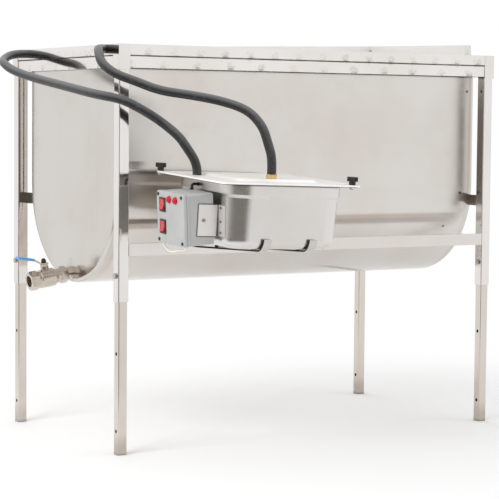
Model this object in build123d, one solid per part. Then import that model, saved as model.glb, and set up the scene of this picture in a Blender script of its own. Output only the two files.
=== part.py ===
from build123d import *
import os
from math import cos, pi, radians, sin, sqrt, tan

# Clearances
LEG_GAP = 0.5          # leg to post, each side
FIT_GAP = 0.2          # fixed piece in its hole, on the radius
RUN_GAP = 0.05         # turning shaft in its bore, on the radius
MOVE_GAP = 0.3         # moving piece to the piece that it passes

# Frame: X along the trough, Y to the back, the floor at Z = 0
FRAME_LENGTH = 1200.0
FRAME_WIDTH = 642.0
TOP_HEIGHT = 1050.0
POST_SIZE = 30.0
POST_WALL = 2.0
POST_ROUND = 2.5
POST_LENGTH = 654.5
LEG_WALL = 1.5
LEG_ROUND = 2.0
LEG_LAP = 206.0        # length of leg inside the post
LEG_SOLE = 3.0         # thickness of the closed lower end
PEG_RADIUS = 3.5
PEG_COUNT = 3
PEG_LOW = 60.0         # lowest peg hole above the floor
LOCK_LIFT = 66.0       # lock screws above the lower end of the posts
LOCK_SHANK = 4.0
LOCK_FLATS = 13.0
LOCK_HEAD = 5.3
RAIL_TALL = 30.0
RAIL_DEEP = 15.0
RAIL_WALL = 1.5
RAIL_DROP = 30.0       # top of the rails below the top of the rim
RIM_SHEET = 1.5
RIM_SHADOW = 1.5       # open joint between rim and rails
CAP_SHEET = 1.0
CAP_TALL = 65.0
CARRIER_SIZE = 32.0
CARRIER_WALL = 2.0
CARRIER_DROP = 523.5   # middle of the pan's carrier rail below the rim

# Trough
TROUGH_SIDE = 31.0     # trough's wall to the posts' inner faces
TROUGH_DEPTH = 628.5
TROUGH_SHEET = 1.5
TROUGH_ROUND = 12.0    # rounded edge of the dished ends
SETBACK_LEFT = 24.0    # end panel inside the frame's outer face
SETBACK_RIGHT = 16.0
FLANGE = 22.0          # turned edge of the dished ends
STAY_THICK = 5.0
STAY_TALL = 30.0
STAY_DROP = 413.0      # middle of the stays below the rim
STAY_INSET = 0.5       # stay inside the post's inner face

# Drain valve: local X runs out along the pipe, local Z along the stem
DRAIN_LIFT = 26.0      # pipe axis above the trough's lowest line
DRAIN_DROOP = 9.0
SOCKET_RADIUS = 18.0
SOCKET_LONG = 16.0
SPIGOT_RADIUS = 16.75
SPIGOT_LONG = 18.0
DRAIN_BORE = 12.5
NECK_RADIUS = 15.5
NECK_LONG = 8.0
BODY_START = 18.0
BODY_FLATS = 40.0
BODY_HEX = 19.0
THROAT_RADIUS = 18.8   # body between its hexagon and its belly
THROAT_LONG = 9.0
BELLY_RADIUS = 24.5
BELLY_RISE = 10.0      # length of the cone from throat to belly
BELLY_LONG = 38.0
BODY_RADIUS = 22.5     # body at its outer end
BALL_PLACE = 76.0
BALL_RADIUS = 19.0
CHAMBER_RADIUS = 20.2
SEAT_REACH = 22.0      # outer face of each seat from the ball's middle
SEAT_THICK = 10.0
END_FLATS = 45.0
END_LONG = 24.0
END_SPIGOT = 4.0
THREAD_RADIUS = 15.15  # one-inch pipe thread, minor radius
THREAD_DEPTH = 16.0
STEM_RADIUS = 5.0
STEM_TANG = 6.0
TANG_WIDE = 16.0
TANG_LOW = 14.0
TANG_TALL = 3.8
BOSS_RADIUS = 11.0
BOSS_TOP = 32.0
GLAND_TALL = 6.0
GLAND_FLATS = 20.0
LEVER_THICK = 3.0
LEVER_WIDE = 18.0
LEVER_LONG = 71.0
LEVER_TAIL = 9.0       # lever behind the stem
LEVER_FLAT = 8.0       # level part in front of the stem
LEVER_RUN = 19.0       # length of the cranked part
LEVER_CRANK = 14.0     # rise of the cranked part
LEVER_RISE = 14.0      # rise from the crank to the tip
GRIP_THICK = 7.0
GRIP_WIDE = 22.0
NUT_TALL = 7.5         # thread inside the cap nut
NUT_FLATS = 13.0
NUT_HEX = 6.5
NUT_DOME = 6.2
NUT_THREAD = 4.0
NUT_BEVEL = 30.0       # degrees, at the turned corners of a nut

# Hot-water pan: local frame at the middle of the lid's upper face
PAN_FROM_LEFT = 291.0  # lid's middle from the left end of the frame
PAN_FROM_FRONT = 199.0  # lid's middle in front of the frame
PAN_ABOVE_CARRIER = 187.0
PAN_TILT = 3.1         # degrees, rising to the back
PAN_LEAN = 1.6         # degrees, falling towards +X
PAN_TURN = -2.0
LID_LONG = 395.0
LID_WIDE = 365.0
LID_SHIFT = (7.5, 14.5)  # middle of the lid's edge in the pan's frame
LID_SHEET = 1.5
LID_LIP = 4.5
LID_CORNER = 12.0
DOME_LONG = 240.0
DOME_WIDE = 226.0
DOME_TALL = 6.0
DOME_CORNER = 24.0
DOME_RUN = 8.0         # slope of the raised field's border
GASKET_THICK = 3.0
GASKET_BORDER = 20.0
FLANGE_INSET = 4.0     # pan's flange inside the lid's edge
PAN_LONG = 336.5
PAN_WIDE = 312.0
PAN_SHIFT = 7.75       # pan's middle to the right of its frame
PAN_CORNER = 62.0
PAN_SHEET = 1.2
PAN_BAND = 26.5        # straight band below the flange
PAN_STEP = 4.0
PAN_SLOPE = 8.5        # height of the sloping step
PAN_DEEP = 162.0
PAN_TAPER = 3.0
PAN_ROUND = 28.0
STRAP_WIDE = 22.0
STRAP_THICK = 4.0
STRAP_LEFT = -49.0
STRAP_RIGHT = 81.5
STRAP_HOOK = 27.0
STRAP_GAP = 4.0        # hook to the pan's wall
STRAP_BEND = 30.0      # middle line of the hook's bend
STRAP_FALL = 4.6       # degrees, straps away from the pan's floor towards the rail
STRAP_RESTS = (-100.0, 85.0)
REST_LONG = 20.0
KNOB_LEFT = (-180.5, 187.0)
KNOB_RIGHT = (184.0, -155.0)
KNOB_HEAD = 11.0
KNOB_LOBE = 4.0
KNOB_LOBES = 6
KNOB_HEAD_TALL = 11.0
KNOB_HUB = 8.5
KNOB_HUB_TALL = 9.0
STUD_RADIUS = 4.0
STUD_DROP = 11.0
STUD_NUT_FLATS = 13.0
STUD_NUT_TALL = 4.0

# Hose tails, pump and heater in the pan's frame
TAIL_RADIUS = 8.0
TAIL_BORE = 5.5
TAIL_STEM = 12.0
TAIL_NUT_FLATS = 26.0
TAIL_NUT_TALL = 11.0
TAIL_LOCK_TALL = 6.0
TAIL_END = 15.0
RETURN_TAIL = (-140.0, 64.0)
SUPPLY_TAIL = (-12.0, -88.0)
PUMP_OFFSET = 17.0
PUMP_RADIUS = 32.0
PUMP_TALL = 70.0
PUMP_FLOOR = 7.0
PUMP_WEB = 1.5         # floor left above the intake slots
CHAMBER_TALL = 12.0
IMPELLER_RADIUS = 22.0
IMPELLER_GAP = 1.5
IMPELLER_DISC = 2.0
BLADE_COUNT = 5
BLADE_THICK = 2.0
SHAFT_RADIUS = 3.0
SHAFT_LONG = 26.0
INTAKE_RADIUS = 10.0
INTAKE_SLOT = 8.0
RISER_RADIUS = 7.5
HEATER_ACROSS = 25.0
HEATER_LIFT = 26.0     # heater above the pan's floor
HEATER_TUBE = 4.0
HEATER_PITCH = 16.0
HEATER_REACH = 235.0
HEATER_BOSS = 9.0
HEATER_PLATE = 14.0
HEATER_PLATE_THICK = 4.0

# Control box: local frame at the middle of its cover, +X into the box, tilted with the pan's wall
BOX_FACE = -249.0      # cover's middle in the pan's frame
BOX_ACROSS = -15.0
BOX_DOWN = -104.0
BOX_LEAN = 5.5         # degrees, cover turned upwards
BOX_DEEP = 82.0
BOX_WIDE = 146.0
BOX_TALL = 130.0
BOX_ROUND = 8.0
BOX_WALL = 3.0
COVER_DEEP = 8.0
COVER_ROUND = 3.0
GROOVE_WIDE = 1.5      # open joint behind the cover
GROOVE_DEEP = 1.2
BASE_BAND = 5.0        # thickened edge of the base
BASE_INSET = 1.5       # walls of the base inside that edge
COVER_SCREW_ACROSS = 62.0
COVER_SCREW_UP = 56.5
COVER_SCREW_HEAD = 4.0
COVER_SCREW_SHANK = 2.0
COVER_SCREW_PROUD = 2.0
COVER_SCREW_LONG = 29.0
BOX_POST = 5.0
SWITCH_ACROSS = 39.0
SWITCH_UP = (31.5, -23.0)
SWITCH_WIDE = 30.0
SWITCH_TALL = 35.0
SWITCH_PROUD = 2.5
SWITCH_DEEP = 21.0
SWITCH_BODY_WIDE = 24.0
SWITCH_BODY_TALL = 30.0
ROCKER_WIDE = 20.0
ROCKER_TALL = 26.0
ROCKER_SIDE = 0.4      # rocker to frame at each side
ROCKER_END = 1.3       # rocker to frame at each end
ROCKER_SINK = 3.0      # pivot behind the cover's face
ROCKER_PIN = 1.5
ROCKER_PROUD = 5.5
ROCKER_DISH = 2.5
ROCKER_HIND = 4.0
ROCKER_TILT = 8.0
LAMP_ACROSS = (2.0, -31.0)
LAMP_UP = 47.0
LAMP_RADIUS = 9.0
LAMP_COLLAR = 2.5
LAMP_DOME = 6.5
LAMP_STEM = 5.0
LAMP_STEM_LONG = 17.0
BRACKET_SHEET = 2.0
BRACKET_TALL = 77.0
BRACKET_DOWN = -100.0
BRACKET_REACH = 57.0   # plate from the pan's wall towards the cover
BRACKET_WRAP = 28.0    # width of the strip on the pan
RIVET_RADIUS = 3.0
RIVET_TALL = 1.5
RIVET_UP = (32.0, -2.0, -29.0)
RIVET_IN = 14.5        # rivets from the bend of the bracket
BRACKET_SCREW_RADIUS = 4.0
BRACKET_SCREW_TALL = 3.0
BRACKET_SCREW_IN = 15.0
LEAD_RADIUS = 3.5
LEAD_BEND = 6.0
LEAD_ACROSS = 15.0
LEAD_FROM_BACK = 5.0   # lead's gland from the back of the box
LEAD_UP = 19.0         # lead below the lid's upper face
GLAND_RADIUS = 4.5
BOX_GLAND_TALL = 4.0
PAN_GLAND_LONG = 2.5
CABLE_RADIUS = 2.5
CABLE_DEPTH = 20.0     # cable loop behind the face of the cover
GROMMET_RADIUS = 4.5
GROMMET_TALL = 3.0
GROMMET_DOWN = -48.0   # cable's hole in the side of the box
GROMMET_ACROSS = -40.0  # cable's hole in the underside of the box
CABLE_ROUTE = (        # across and up from the middle of the cover
    (86.0, -48.0), (84.0, -72.0), (62.0, -86.0), (36.0, -89.0), (0.0, -80.0), (-40.0, -76.0))

# Hoses, knife head, strainer and drip tray
HOSE_RADIUS = 11.5
HOSE_BORE = 8.2
NIPPLE_RADIUS = 8.0
NIPPLE_BORE = 6.0
NIPPLE_OUT = 16.0
NIPPLE_DROP = 11.5     # nipples below the top of the rim
RETURN_INSET = 27.5    # nipples from the trough's inner walls
SUPPLY_INSET = 18.0
SUPPLY_TURN = 40.0     # degrees that the supply nipple points to the front
SUPPLY_EXIT = 38.0     # first corner of the supply hose from its tail
SUPPLY_ENTRY = 39.0    # last corner of the supply hose from the rim
RETURN_EXIT = 27.0
RETURN_ENTRY = 43.0
BEND_SHARE = 0.45      # share of a straight run that the bend at each end may take
PIPE_BEND = 20.0
PIPE_INSIDE = 20.0     # straight pipe inside the end panel
KNIFE_FROM_LEFT = 200.0
KNIFE_DROP = 120.0     # knife pivots below the rim
KNIFE_PITCH = 90.0
KNIFE_TUBE = 12.0
KNIFE_EDGE_GAP = 28.0
KNIFE_EDGE_UP = 45.0
KNIFE_EDGE_THICK = 0.8
KNIFE_BASE_THICK = 12.0
TRUNNION_RADIUS = 9.0
TRUNNION_LONG = 20.0
TRUNNION_BORE = 6.0
MANIFOLD_LONG = 120.0
MANIFOLD_TALL = 60.0
MANIFOLD_DEEP = 45.0
MANIFOLD_FEED = 20.0   # feed bore above the pivots
STRAINER_HEIGHT = 140.0
STRAINER_SHEET = 1.5
STRAINER_INSET = 40.0
STRAINER_GAP = 0.5
STRAINER_HOLE = 9.0
STRAINER_PITCH = 60.0
TRAY_SHEET = 1.2
TRAY_LONG = 730.0
TRAY_FROM_RIGHT = 21.0
TRAY_FRONT_GAP = 11.5  # tray to the trough's inner walls
TRAY_BACK_GAP = 3.5
TRAY_SINK = 6.0        # tray's floor below the rim at its right end
TRAY_SLOPE = 1.7
TRAY_BACK_TALL = 50.0
TRAY_FRONT_TALL = 5.0
TRAY_END_TALL = 38.0   # front end of the right wall
TRAY_RETURN = 19.0
TRAY_TAB = 19.0
TRAY_TAB_WIDE = 40.0
TRAY_TAB_AT = 180.0

# Hose routes from the lid to the rim, measured from the frame's left front upper corner
SUPPLY_ROUTE = [
    (269, -280, -245), (260, -270, -205), (235, -241, -165), (187, -193, -143), (126, -143, -129),
    (58, -106, -119), (8, -69, -95), (-34, -41, -78), (-58, -11, -50), (-50, 17, -20),
]
RETURN_ROUTE = [
    (126, -120, -256), (112, -108, -231), (76, -78, -194), (29, -69, -166), (-20, -50, -140),
    (-60, 13, -129), (-74, 165, -106), (-91, 319, -83), (-109, 417, -61), (-112, 462, -41),
    (-95, 509, -33),
]

# Places that follow from the sizes above
HALF_LENGTH = FRAME_LENGTH / 2
HALF_WIDTH = FRAME_WIDTH / 2
RIM_UNDER = TOP_HEIGHT - RIM_SHEET
RAIL_TOP = TOP_HEIGHT - RAIL_DROP
POST_FOOT = RIM_UNDER - POST_LENGTH
LOCK_HEIGHT = POST_FOOT + LOCK_LIFT
PEG_PITCH = (LOCK_HEIGHT - PEG_LOW) / (PEG_COUNT - 1)
LEG_SIZE = POST_SIZE - 2 * POST_WALL - 2 * LEG_GAP
LEG_LONG = POST_FOOT + LEG_LAP
TROUGH_LEFT = -HALF_LENGTH + SETBACK_LEFT
TROUGH_RIGHT = HALF_LENGTH - SETBACK_RIGHT
TROUGH_RADIUS = HALF_WIDTH - POST_SIZE - TROUGH_SIDE
TROUGH_BOTTOM = RIM_UNDER - TROUGH_DEPTH
TROUGH_AXIS = TROUGH_BOTTOM + TROUGH_RADIUS
TROUGH_BORE = TROUGH_RADIUS - TROUGH_SHEET
STAY_HEIGHT = TOP_HEIGHT - STAY_DROP
CARRIER_HEIGHT = TOP_HEIGHT - CARRIER_DROP
GASKET_LOW = -LID_SHEET - GASKET_THICK
PAN_UNDER = GASKET_LOW - PAN_DEEP
PAN_FLOOR = PAN_UNDER + PAN_SHEET
PAN_STEP_HEIGHT = GASKET_LOW - PAN_BAND
PAN_WALL_TOP = PAN_STEP_HEIGHT - PAN_SLOPE
BODY_END = BALL_PLACE + SEAT_REACH + END_SPIGOT
BOX_SIDE = BOX_ACROSS - BOX_WIDE / 2 + BASE_INSET
NIPPLE_HEIGHT = TOP_HEIGHT - NIPPLE_DROP
RIM_FACE = HALF_LENGTH + RIM_SHEET
RETURN_ACROSS = TROUGH_BORE - RETURN_INSET
SUPPLY_ACROSS = SUPPLY_INSET - TROUGH_BORE
KNIFE_X = -HALF_LENGTH + KNIFE_FROM_LEFT
KNIFE_Z = TOP_HEIGHT - KNIFE_DROP
MANIFOLD_FACE = TROUGH_BORE - MANIFOLD_DEEP
TRAY_FRONT = TROUGH_BORE - TRAY_FRONT_GAP
TRAY_BACK = TROUGH_BORE - TRAY_BACK_GAP
CORNERS = {
    "front_left": (-1, -1),
    "front_right": (1, -1),
    "back_left": (-1, 1),
    "back_right": (1, 1),
}
PAN_FRAME = Location(
    (-HALF_LENGTH + PAN_FROM_LEFT, -HALF_WIDTH - PAN_FROM_FRONT, CARRIER_HEIGHT + PAN_ABOVE_CARRIER),
    (PAN_TILT, PAN_LEAN, PAN_TURN),
)
BOX_TILT = Pos(BOX_FACE, BOX_ACROSS, BOX_DOWN) * Rot(0, -BOX_LEAN, 0)
BOX_FRAME = PAN_FRAME * BOX_TILT
DRAIN_AIM = (cos(radians(DRAIN_DROOP)), sin(radians(DRAIN_DROOP)))
DRAIN_FRAME = Plane(
    origin=(TROUGH_LEFT, 0, TROUGH_BOTTOM + DRAIN_LIFT),
    x_dir=(-DRAIN_AIM[0], 0, -DRAIN_AIM[1]),
    z_dir=(-DRAIN_AIM[1], 0, DRAIN_AIM[0]),
).location


def block(low, high):
    """Box between two opposite corners."""
    size = [b - a for a, b in zip(low, high)]
    middle = [(a + b) / 2 for a, b in zip(low, high)]
    return Pos(*middle) * Box(*size)


def rod(start, end, radius):
    """Round bar between two points."""
    axis = Vector(*end) - Vector(*start)
    return extrude(Plane(origin=start, z_dir=axis) * Circle(radius), axis.length)


def hexagon(start, end, flats):
    """Six-sided bar between two points."""
    axis = Vector(*end) - Vector(*start)
    outline = RegularPolygon(flats / 2, 6, major_radius=False)
    return extrude(Plane(origin=start, z_dir=axis) * outline, axis.length)


def nut(start, end, flats):
    """Six-sided bar with its corners turned off at both ends."""
    axis = Vector(*end) - Vector(*start)
    corner, long = flats / sqrt(3), axis.length
    bevel = (corner - flats / 2) * tan(radians(NUT_BEVEL))
    outline = make_face(Polyline(
        (0, 0), (flats / 2, 0), (corner, bevel), (corner, long - bevel), (flats / 2, long), (0, long),
        close=True))
    turned = revolve(Plane.XZ * outline, Axis.Z)
    return hexagon(start, end, flats) & (Plane(origin=start, z_dir=axis).location * turned)


def slab(low, high, long, wide, corner):
    """Upright plate with rounded corners, centred on the local Z axis."""
    return extrude(Pos(0, 0, low) * RectangleRounded(long, wide, corner), high - low)


def tube(points, bends, radius, bore):
    """Round tube along straight runs joined by tangent arcs."""
    path = FilletPolyline(*points, radius=bends)
    section = Plane(origin=path @ 0, z_dir=path % 0) * (Circle(radius) - Circle(bore))
    return sweep(section, path), path.length


def square_tube(low, high, size, wall, corner):
    """Upright square tube on the local Z axis."""
    outer = RectangleRounded(size, size, corner)
    inner = RectangleRounded(size - 2 * wall, size - 2 * wall, max(corner - wall, wall / 4))
    return extrude(Pos(0, 0, low) * (outer - inner), high - low)


def post_place(side, depth):
    """Middle of a post on the floor."""
    return side * (HALF_LENGTH - POST_SIZE / 2), depth * (HALF_WIDTH - POST_SIZE / 2)


def post(side, depth):
    """Square tube in four walls that meet along its corners."""
    x, y = post_place(side, depth)
    bar = square_tube(POST_FOOT, RIM_UNDER, POST_SIZE, POST_WALL, POST_ROUND)
    bar -= rod((-POST_SIZE, 0, LOCK_HEIGHT), (POST_SIZE, 0, LOCK_HEIGHT), LOCK_SHANK + FIT_GAP)
    far = POST_SIZE
    wedge = extrude(make_face(Polyline((0, 0), (far, -far), (far, far), close=True)), TOP_HEIGHT)
    return [Pos(x, y) * (bar & (Rot(0, 0, 90 * turn) * wedge)) for turn in range(4)]


def leg(side, depth):
    x, y = post_place(side, depth)
    outline = square_tube(0, LEG_LONG, LEG_SIZE, LEG_WALL, LEG_ROUND)
    outline += slab(0, LEG_SOLE, LEG_SIZE, LEG_SIZE, LEG_ROUND)
    for index in range(PEG_COUNT):
        z = LOCK_HEIGHT - index * PEG_PITCH
        outline -= rod((-LEG_SIZE, 0, z), (LEG_SIZE, 0, z), PEG_RADIUS)
    return Pos(x, y) * outline


def lock_screws():
    """Hexagon screws through both X faces of each post, just short of the leg."""
    screws = []
    face = POST_SIZE / 2
    tip = LEG_SIZE / 2 + MOVE_GAP
    for side, depth in CORNERS.values():
        x, y = post_place(side, depth)
        for way in (-1, 1):
            head = hexagon((way * face, 0, LOCK_HEIGHT), (way * (face + LOCK_HEAD), 0, LOCK_HEIGHT), LOCK_FLATS)
            shank = rod((way * tip, 0, LOCK_HEIGHT), (way * face, 0, LOCK_HEIGHT), LOCK_SHANK)
            screws.append(Pos(x, y) * (head + shank))
    return screws


def long_rails():
    reach = HALF_LENGTH - POST_SIZE
    rails = []
    for depth in (-1, 1):
        outer, inner = depth * HALF_WIDTH, depth * (HALF_WIDTH - RAIL_DEEP)
        low, high = min(outer, inner), max(outer, inner)
        bar = block((-reach, low, RAIL_TOP - RAIL_TALL), (reach, high, RAIL_TOP))
        rails.append(bar - block(
            (-reach, low + RAIL_WALL, RAIL_TOP - RAIL_TALL + RAIL_WALL),
            (reach, high - RAIL_WALL, RAIL_TOP - RAIL_WALL)))
    return rails


def end_rails():
    reach = HALF_WIDTH - POST_SIZE
    rails = []
    for side in (-1, 1):
        outer, inner = side * HALF_LENGTH, side * (HALF_LENGTH - RAIL_DEEP)
        low, high = min(outer, inner), max(outer, inner)
        bar = block((low, -reach, RAIL_TOP - RAIL_TALL), (high, reach, RAIL_TOP))
        rails.append(bar - block(
            (low + RAIL_WALL, -reach, RAIL_TOP - RAIL_TALL + RAIL_WALL),
            (high - RAIL_WALL, reach, RAIL_TOP - RAIL_WALL)))
    return rails


def rim_block(proud):
    """Solid outline of the rim, grown outwards."""
    x, y = HALF_LENGTH + RIM_SHEET + proud, HALF_WIDTH + RIM_SHEET + proud
    return block((-x, -y, RAIL_TOP + RIM_SHADOW), (x, y, TOP_HEIGHT))


def trough_rim():
    middle = (TROUGH_LEFT + TROUGH_RIGHT) / 2
    long = TROUGH_RIGHT - TROUGH_LEFT - 2 * TROUGH_SHEET
    mouth = slab(0, 2 * TOP_HEIGHT, long, 2 * TROUGH_BORE, TROUGH_ROUND - TROUGH_SHEET)
    under = block((-HALF_LENGTH, -HALF_WIDTH, 0), (HALF_LENGTH, HALF_WIDTH, RIM_UNDER))
    rim = rim_block(0) - under - Pos(middle) * mouth
    for solid in pipe_cores(NIPPLE_RADIUS + FIT_GAP):
        rim -= solid
    return rim


def corner_caps():
    """Sheet angles over the upper ends of the four outer corners."""
    caps = []
    proud = RIM_SHEET + CAP_SHEET
    for side, depth in CORNERS.values():
        x, y = side * (HALF_LENGTH + proud), depth * (HALF_WIDTH + proud)
        inner_x, inner_y = side * (HALF_LENGTH - POST_SIZE), depth * (HALF_WIDTH - POST_SIZE)
        cap = block(
            (min(x, inner_x), min(y, inner_y), TOP_HEIGHT - CAP_TALL),
            (max(x, inner_x), max(y, inner_y), TOP_HEIGHT))
        core = block((-HALF_LENGTH, -HALF_WIDTH, 0), (HALF_LENGTH, HALF_WIDTH, TOP_HEIGHT))
        caps.append(cap - core - rim_block(0))
    return caps


def carrier_bar(wall):
    """Bar of the pan's carrier rail between the posts, drawn in from its outer face."""
    half = CARRIER_SIZE / 2 - wall
    y = -HALF_WIDTH + CARRIER_SIZE / 2
    reach = HALF_LENGTH - POST_SIZE
    return block((-reach, y - half, CARRIER_HEIGHT - half), (reach, y + half, CARRIER_HEIGHT + half))


def trough_form(inset, rise):
    """Half-round tub with straight upper walls, drawn in from its outer face."""
    radius = TROUGH_RADIUS - inset
    left, right = TROUGH_LEFT + inset, TROUGH_RIGHT - inset
    top = RIM_UNDER + rise
    upper = Pos(0, (TROUGH_AXIS + top) / 2) * Rectangle(2 * radius, top - TROUGH_AXIS)
    outline = Pos(0, TROUGH_AXIS) * Circle(radius) + upper
    form = extrude(Plane.YZ.offset(left) * outline, right - left)
    rims = [
        edge for edge in form.edges()
        if min(abs(edge.center().X - left), abs(edge.center().X - right)) < TROUGH_SHEET / 10
        and edge.center().Z < top - TROUGH_SHEET / 10
    ]
    return fillet(rims, TROUGH_ROUND - inset)


def trough():
    """Curved shell and the two dished ends, cut apart at the weld lines."""
    tub = trough_form(0, 0) - trough_form(TROUGH_SHEET, TROUGH_SHEET)
    tub -= DRAIN_FRAME * rod((-2 * NECK_LONG, 0, 0), (SOCKET_LONG, 0, 0), NECK_RADIUS + FIT_GAP)
    for solid in pipe_cores(NIPPLE_RADIUS + FIT_GAP):
        tub -= solid
    weld_left, weld_right = TROUGH_LEFT + FLANGE, TROUGH_RIGHT - FLANGE
    far = FRAME_LENGTH
    left = tub & block((-far, -far, -far), (weld_left, far, 2 * far))
    shell = tub & block((weld_left, -far, -far), (weld_right, far, 2 * far))
    right = tub & block((weld_right, -far, -far), (far, far, 2 * far))
    return shell, left, right


def trough_stays():
    """Flat bars from the trough's walls to the posts."""
    stays = []
    outer = trough_form(0, 0)
    inner_x, inner_y = HALF_LENGTH - POST_SIZE + STAY_INSET, HALF_WIDTH - POST_SIZE
    for side, depth in CORNERS.values():
        x, y = sorted((side * inner_x, side * (inner_x + STAY_THICK))), sorted((depth * inner_y, 0))
        low, high = STAY_HEIGHT - STAY_TALL / 2, STAY_HEIGHT + STAY_TALL / 2
        bar = block((x[0], y[0], low), (x[1], y[1], high)) - outer
        reach = [solid for solid in bar.solids() if abs(solid.center().Y) > TROUGH_RADIUS / 2]
        stays.append(reach[0])
    return stays


def drain_socket():
    outside = rod((-NECK_LONG, 0, 0), (SOCKET_LONG, 0, 0), SOCKET_RADIUS)
    outside += rod((SOCKET_LONG, 0, 0), (SOCKET_LONG + SPIGOT_LONG, 0, 0), SPIGOT_RADIUS)
    outside = DRAIN_FRAME * outside - trough_form(0, 0)
    neck = DRAIN_FRAME * rod((-NECK_LONG, 0, 0), (SOCKET_LONG, 0, 0), NECK_RADIUS)
    bore = DRAIN_FRAME * rod((-2 * NECK_LONG, 0, 0), (2 * BODY_END, 0, 0), DRAIN_BORE)
    return outside + neck - bore


def valve_body():
    """Hexagon, throat and belly, bored for the spigot, the seats and the stem."""
    throat = BODY_START + BODY_HEX
    cone = throat + THROAT_LONG
    belly, belly_end = cone + BELLY_RISE, cone + BELLY_RISE + BELLY_LONG
    shoulder = belly_end + BELLY_RADIUS - BODY_RADIUS
    outline = make_face(Polyline(
        (throat, 0), (throat, THROAT_RADIUS), (cone, THROAT_RADIUS), (belly, BELLY_RADIUS),
        (belly_end, BELLY_RADIUS), (shoulder, BODY_RADIUS), (BODY_END, BODY_RADIUS), (BODY_END, 0), close=True))
    body = nut((BODY_START, 0, 0), (throat, 0, 0), BODY_FLATS) + revolve(outline, Axis.X)
    body += rod((BALL_PLACE, 0, 0), (BALL_PLACE, 0, BOSS_TOP), BOSS_RADIUS)
    spigot_end = SOCKET_LONG + SPIGOT_LONG
    body -= rod((BODY_START, 0, 0), (spigot_end, 0, 0), SPIGOT_RADIUS + FIT_GAP)
    body -= rod((spigot_end, 0, 0), (BODY_END, 0, 0), DRAIN_BORE)
    body -= rod((BALL_PLACE - SEAT_REACH, 0, 0), (BODY_END, 0, 0), CHAMBER_RADIUS)
    body -= rod((BALL_PLACE, 0, 0), (BALL_PLACE, 0, BOSS_TOP), STEM_RADIUS + RUN_GAP)
    return DRAIN_FRAME * body


def valve_end_piece():
    piece = rod((BODY_END - END_SPIGOT, 0, 0), (BODY_END, 0, 0), CHAMBER_RADIUS - FIT_GAP)
    piece += nut((BODY_END, 0, 0), (BODY_END + END_LONG, 0, 0), END_FLATS)
    piece -= rod((0, 0, 0), (BODY_END + END_LONG, 0, 0), DRAIN_BORE)
    mouth = BODY_END + END_LONG
    return DRAIN_FRAME * (piece - rod((mouth - THREAD_DEPTH, 0, 0), (mouth, 0, 0), THREAD_RADIUS))


def valve_seats():
    """Rings with a hollow face that follows the ball."""
    seats = []
    outside = CHAMBER_RADIUS - FIT_GAP
    hollow = Pos(BALL_PLACE, 0) * Circle(BALL_RADIUS + MOVE_GAP)
    for way in (-1, 1):
        middle = BALL_PLACE + way * (SEAT_REACH - SEAT_THICK / 2)
        section = Pos(middle, (outside + DRAIN_BORE) / 2) * Rectangle(SEAT_THICK, outside - DRAIN_BORE)
        seats.append(DRAIN_FRAME * revolve(section - hollow, Axis.X))
    return seats


def tang(gap, top):
    """Flat key of the stem in the ball's slot."""
    wide, thick = TANG_WIDE / 2 + gap, STEM_TANG / 2 + gap
    return block((BALL_PLACE - wide, -thick, TANG_LOW - gap), (BALL_PLACE + wide, thick, top))


def valve_ball():
    ball = Pos(BALL_PLACE, 0, 0) * Sphere(BALL_RADIUS)
    slot = tang(FIT_GAP / 2, BALL_RADIUS)
    return DRAIN_FRAME * (ball - rod((0, 0, 0), (BODY_END, 0, 0), DRAIN_BORE) - slot)


def valve_stem():
    lever_low = BOSS_TOP + GLAND_TALL + MOVE_GAP
    nut_low = lever_low + LEVER_THICK
    stem = rod((BALL_PLACE, 0, TANG_LOW), (BALL_PLACE, 0, nut_low), STEM_RADIUS)
    stem += rod((BALL_PLACE, 0, nut_low), (BALL_PLACE, 0, nut_low + NUT_TALL), NUT_THREAD)
    stem -= Pos(BALL_PLACE, 0, 0) * Sphere(BALL_RADIUS + FIT_GAP)
    half = STEM_TANG / 2
    reach = sqrt(STEM_RADIUS ** 2 - half ** 2)
    neck = block((BALL_PLACE - reach, -half, TANG_LOW), (BALL_PLACE + reach, half, BOSS_TOP))
    return DRAIN_FRAME * (stem + neck + tang(0, TANG_LOW + TANG_TALL))


def stem_gland_nut():
    low, high = (BALL_PLACE, 0, BOSS_TOP), (BALL_PLACE, 0, BOSS_TOP + GLAND_TALL)
    return DRAIN_FRAME * (nut(low, high, GLAND_FLATS) - rod(low, high, STEM_RADIUS + MOVE_GAP))


def lever_line():
    """Middle line of the cranked lever, from the stem to the tip."""
    z = BOSS_TOP + GLAND_TALL + MOVE_GAP + LEVER_THICK / 2
    crank = BALL_PLACE + LEVER_FLAT
    return [
        (BALL_PLACE - LEVER_TAIL, z),
        (crank, z),
        (crank + LEVER_RUN, z + LEVER_CRANK),
        (BALL_PLACE + LEVER_LONG, z + LEVER_CRANK + LEVER_RISE),
    ]


def lever_strip(points, thick, wide):
    strip = Plane.XZ * trace(Polyline(*points), thick)
    return extrude(strip, wide / 2, both=True)


def valve_lever():
    hole = rod((BALL_PLACE, 0, 0), (BALL_PLACE, 0, 2 * BOSS_TOP), STEM_RADIUS + FIT_GAP / 2)
    return DRAIN_FRAME * (lever_strip(lever_line(), LEVER_THICK, LEVER_WIDE) - hole)


def lever_grip():
    """Soft sleeve over the raised part of the lever."""
    line = lever_line()
    start, end = Vector(*line[2]), Vector(*line[3])
    way = (end - start).normalized()
    ends = [start + way * LEVER_THICK, end + way * LEVER_THICK]
    sleeve = lever_strip([(p.X, p.Y) for p in ends], GRIP_THICK, GRIP_WIDE)
    sleeve = fillet(sleeve.edges(), GRIP_THICK / 4)
    return DRAIN_FRAME * (sleeve - lever_strip(line, LEVER_THICK + FIT_GAP, LEVER_WIDE + FIT_GAP))


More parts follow.
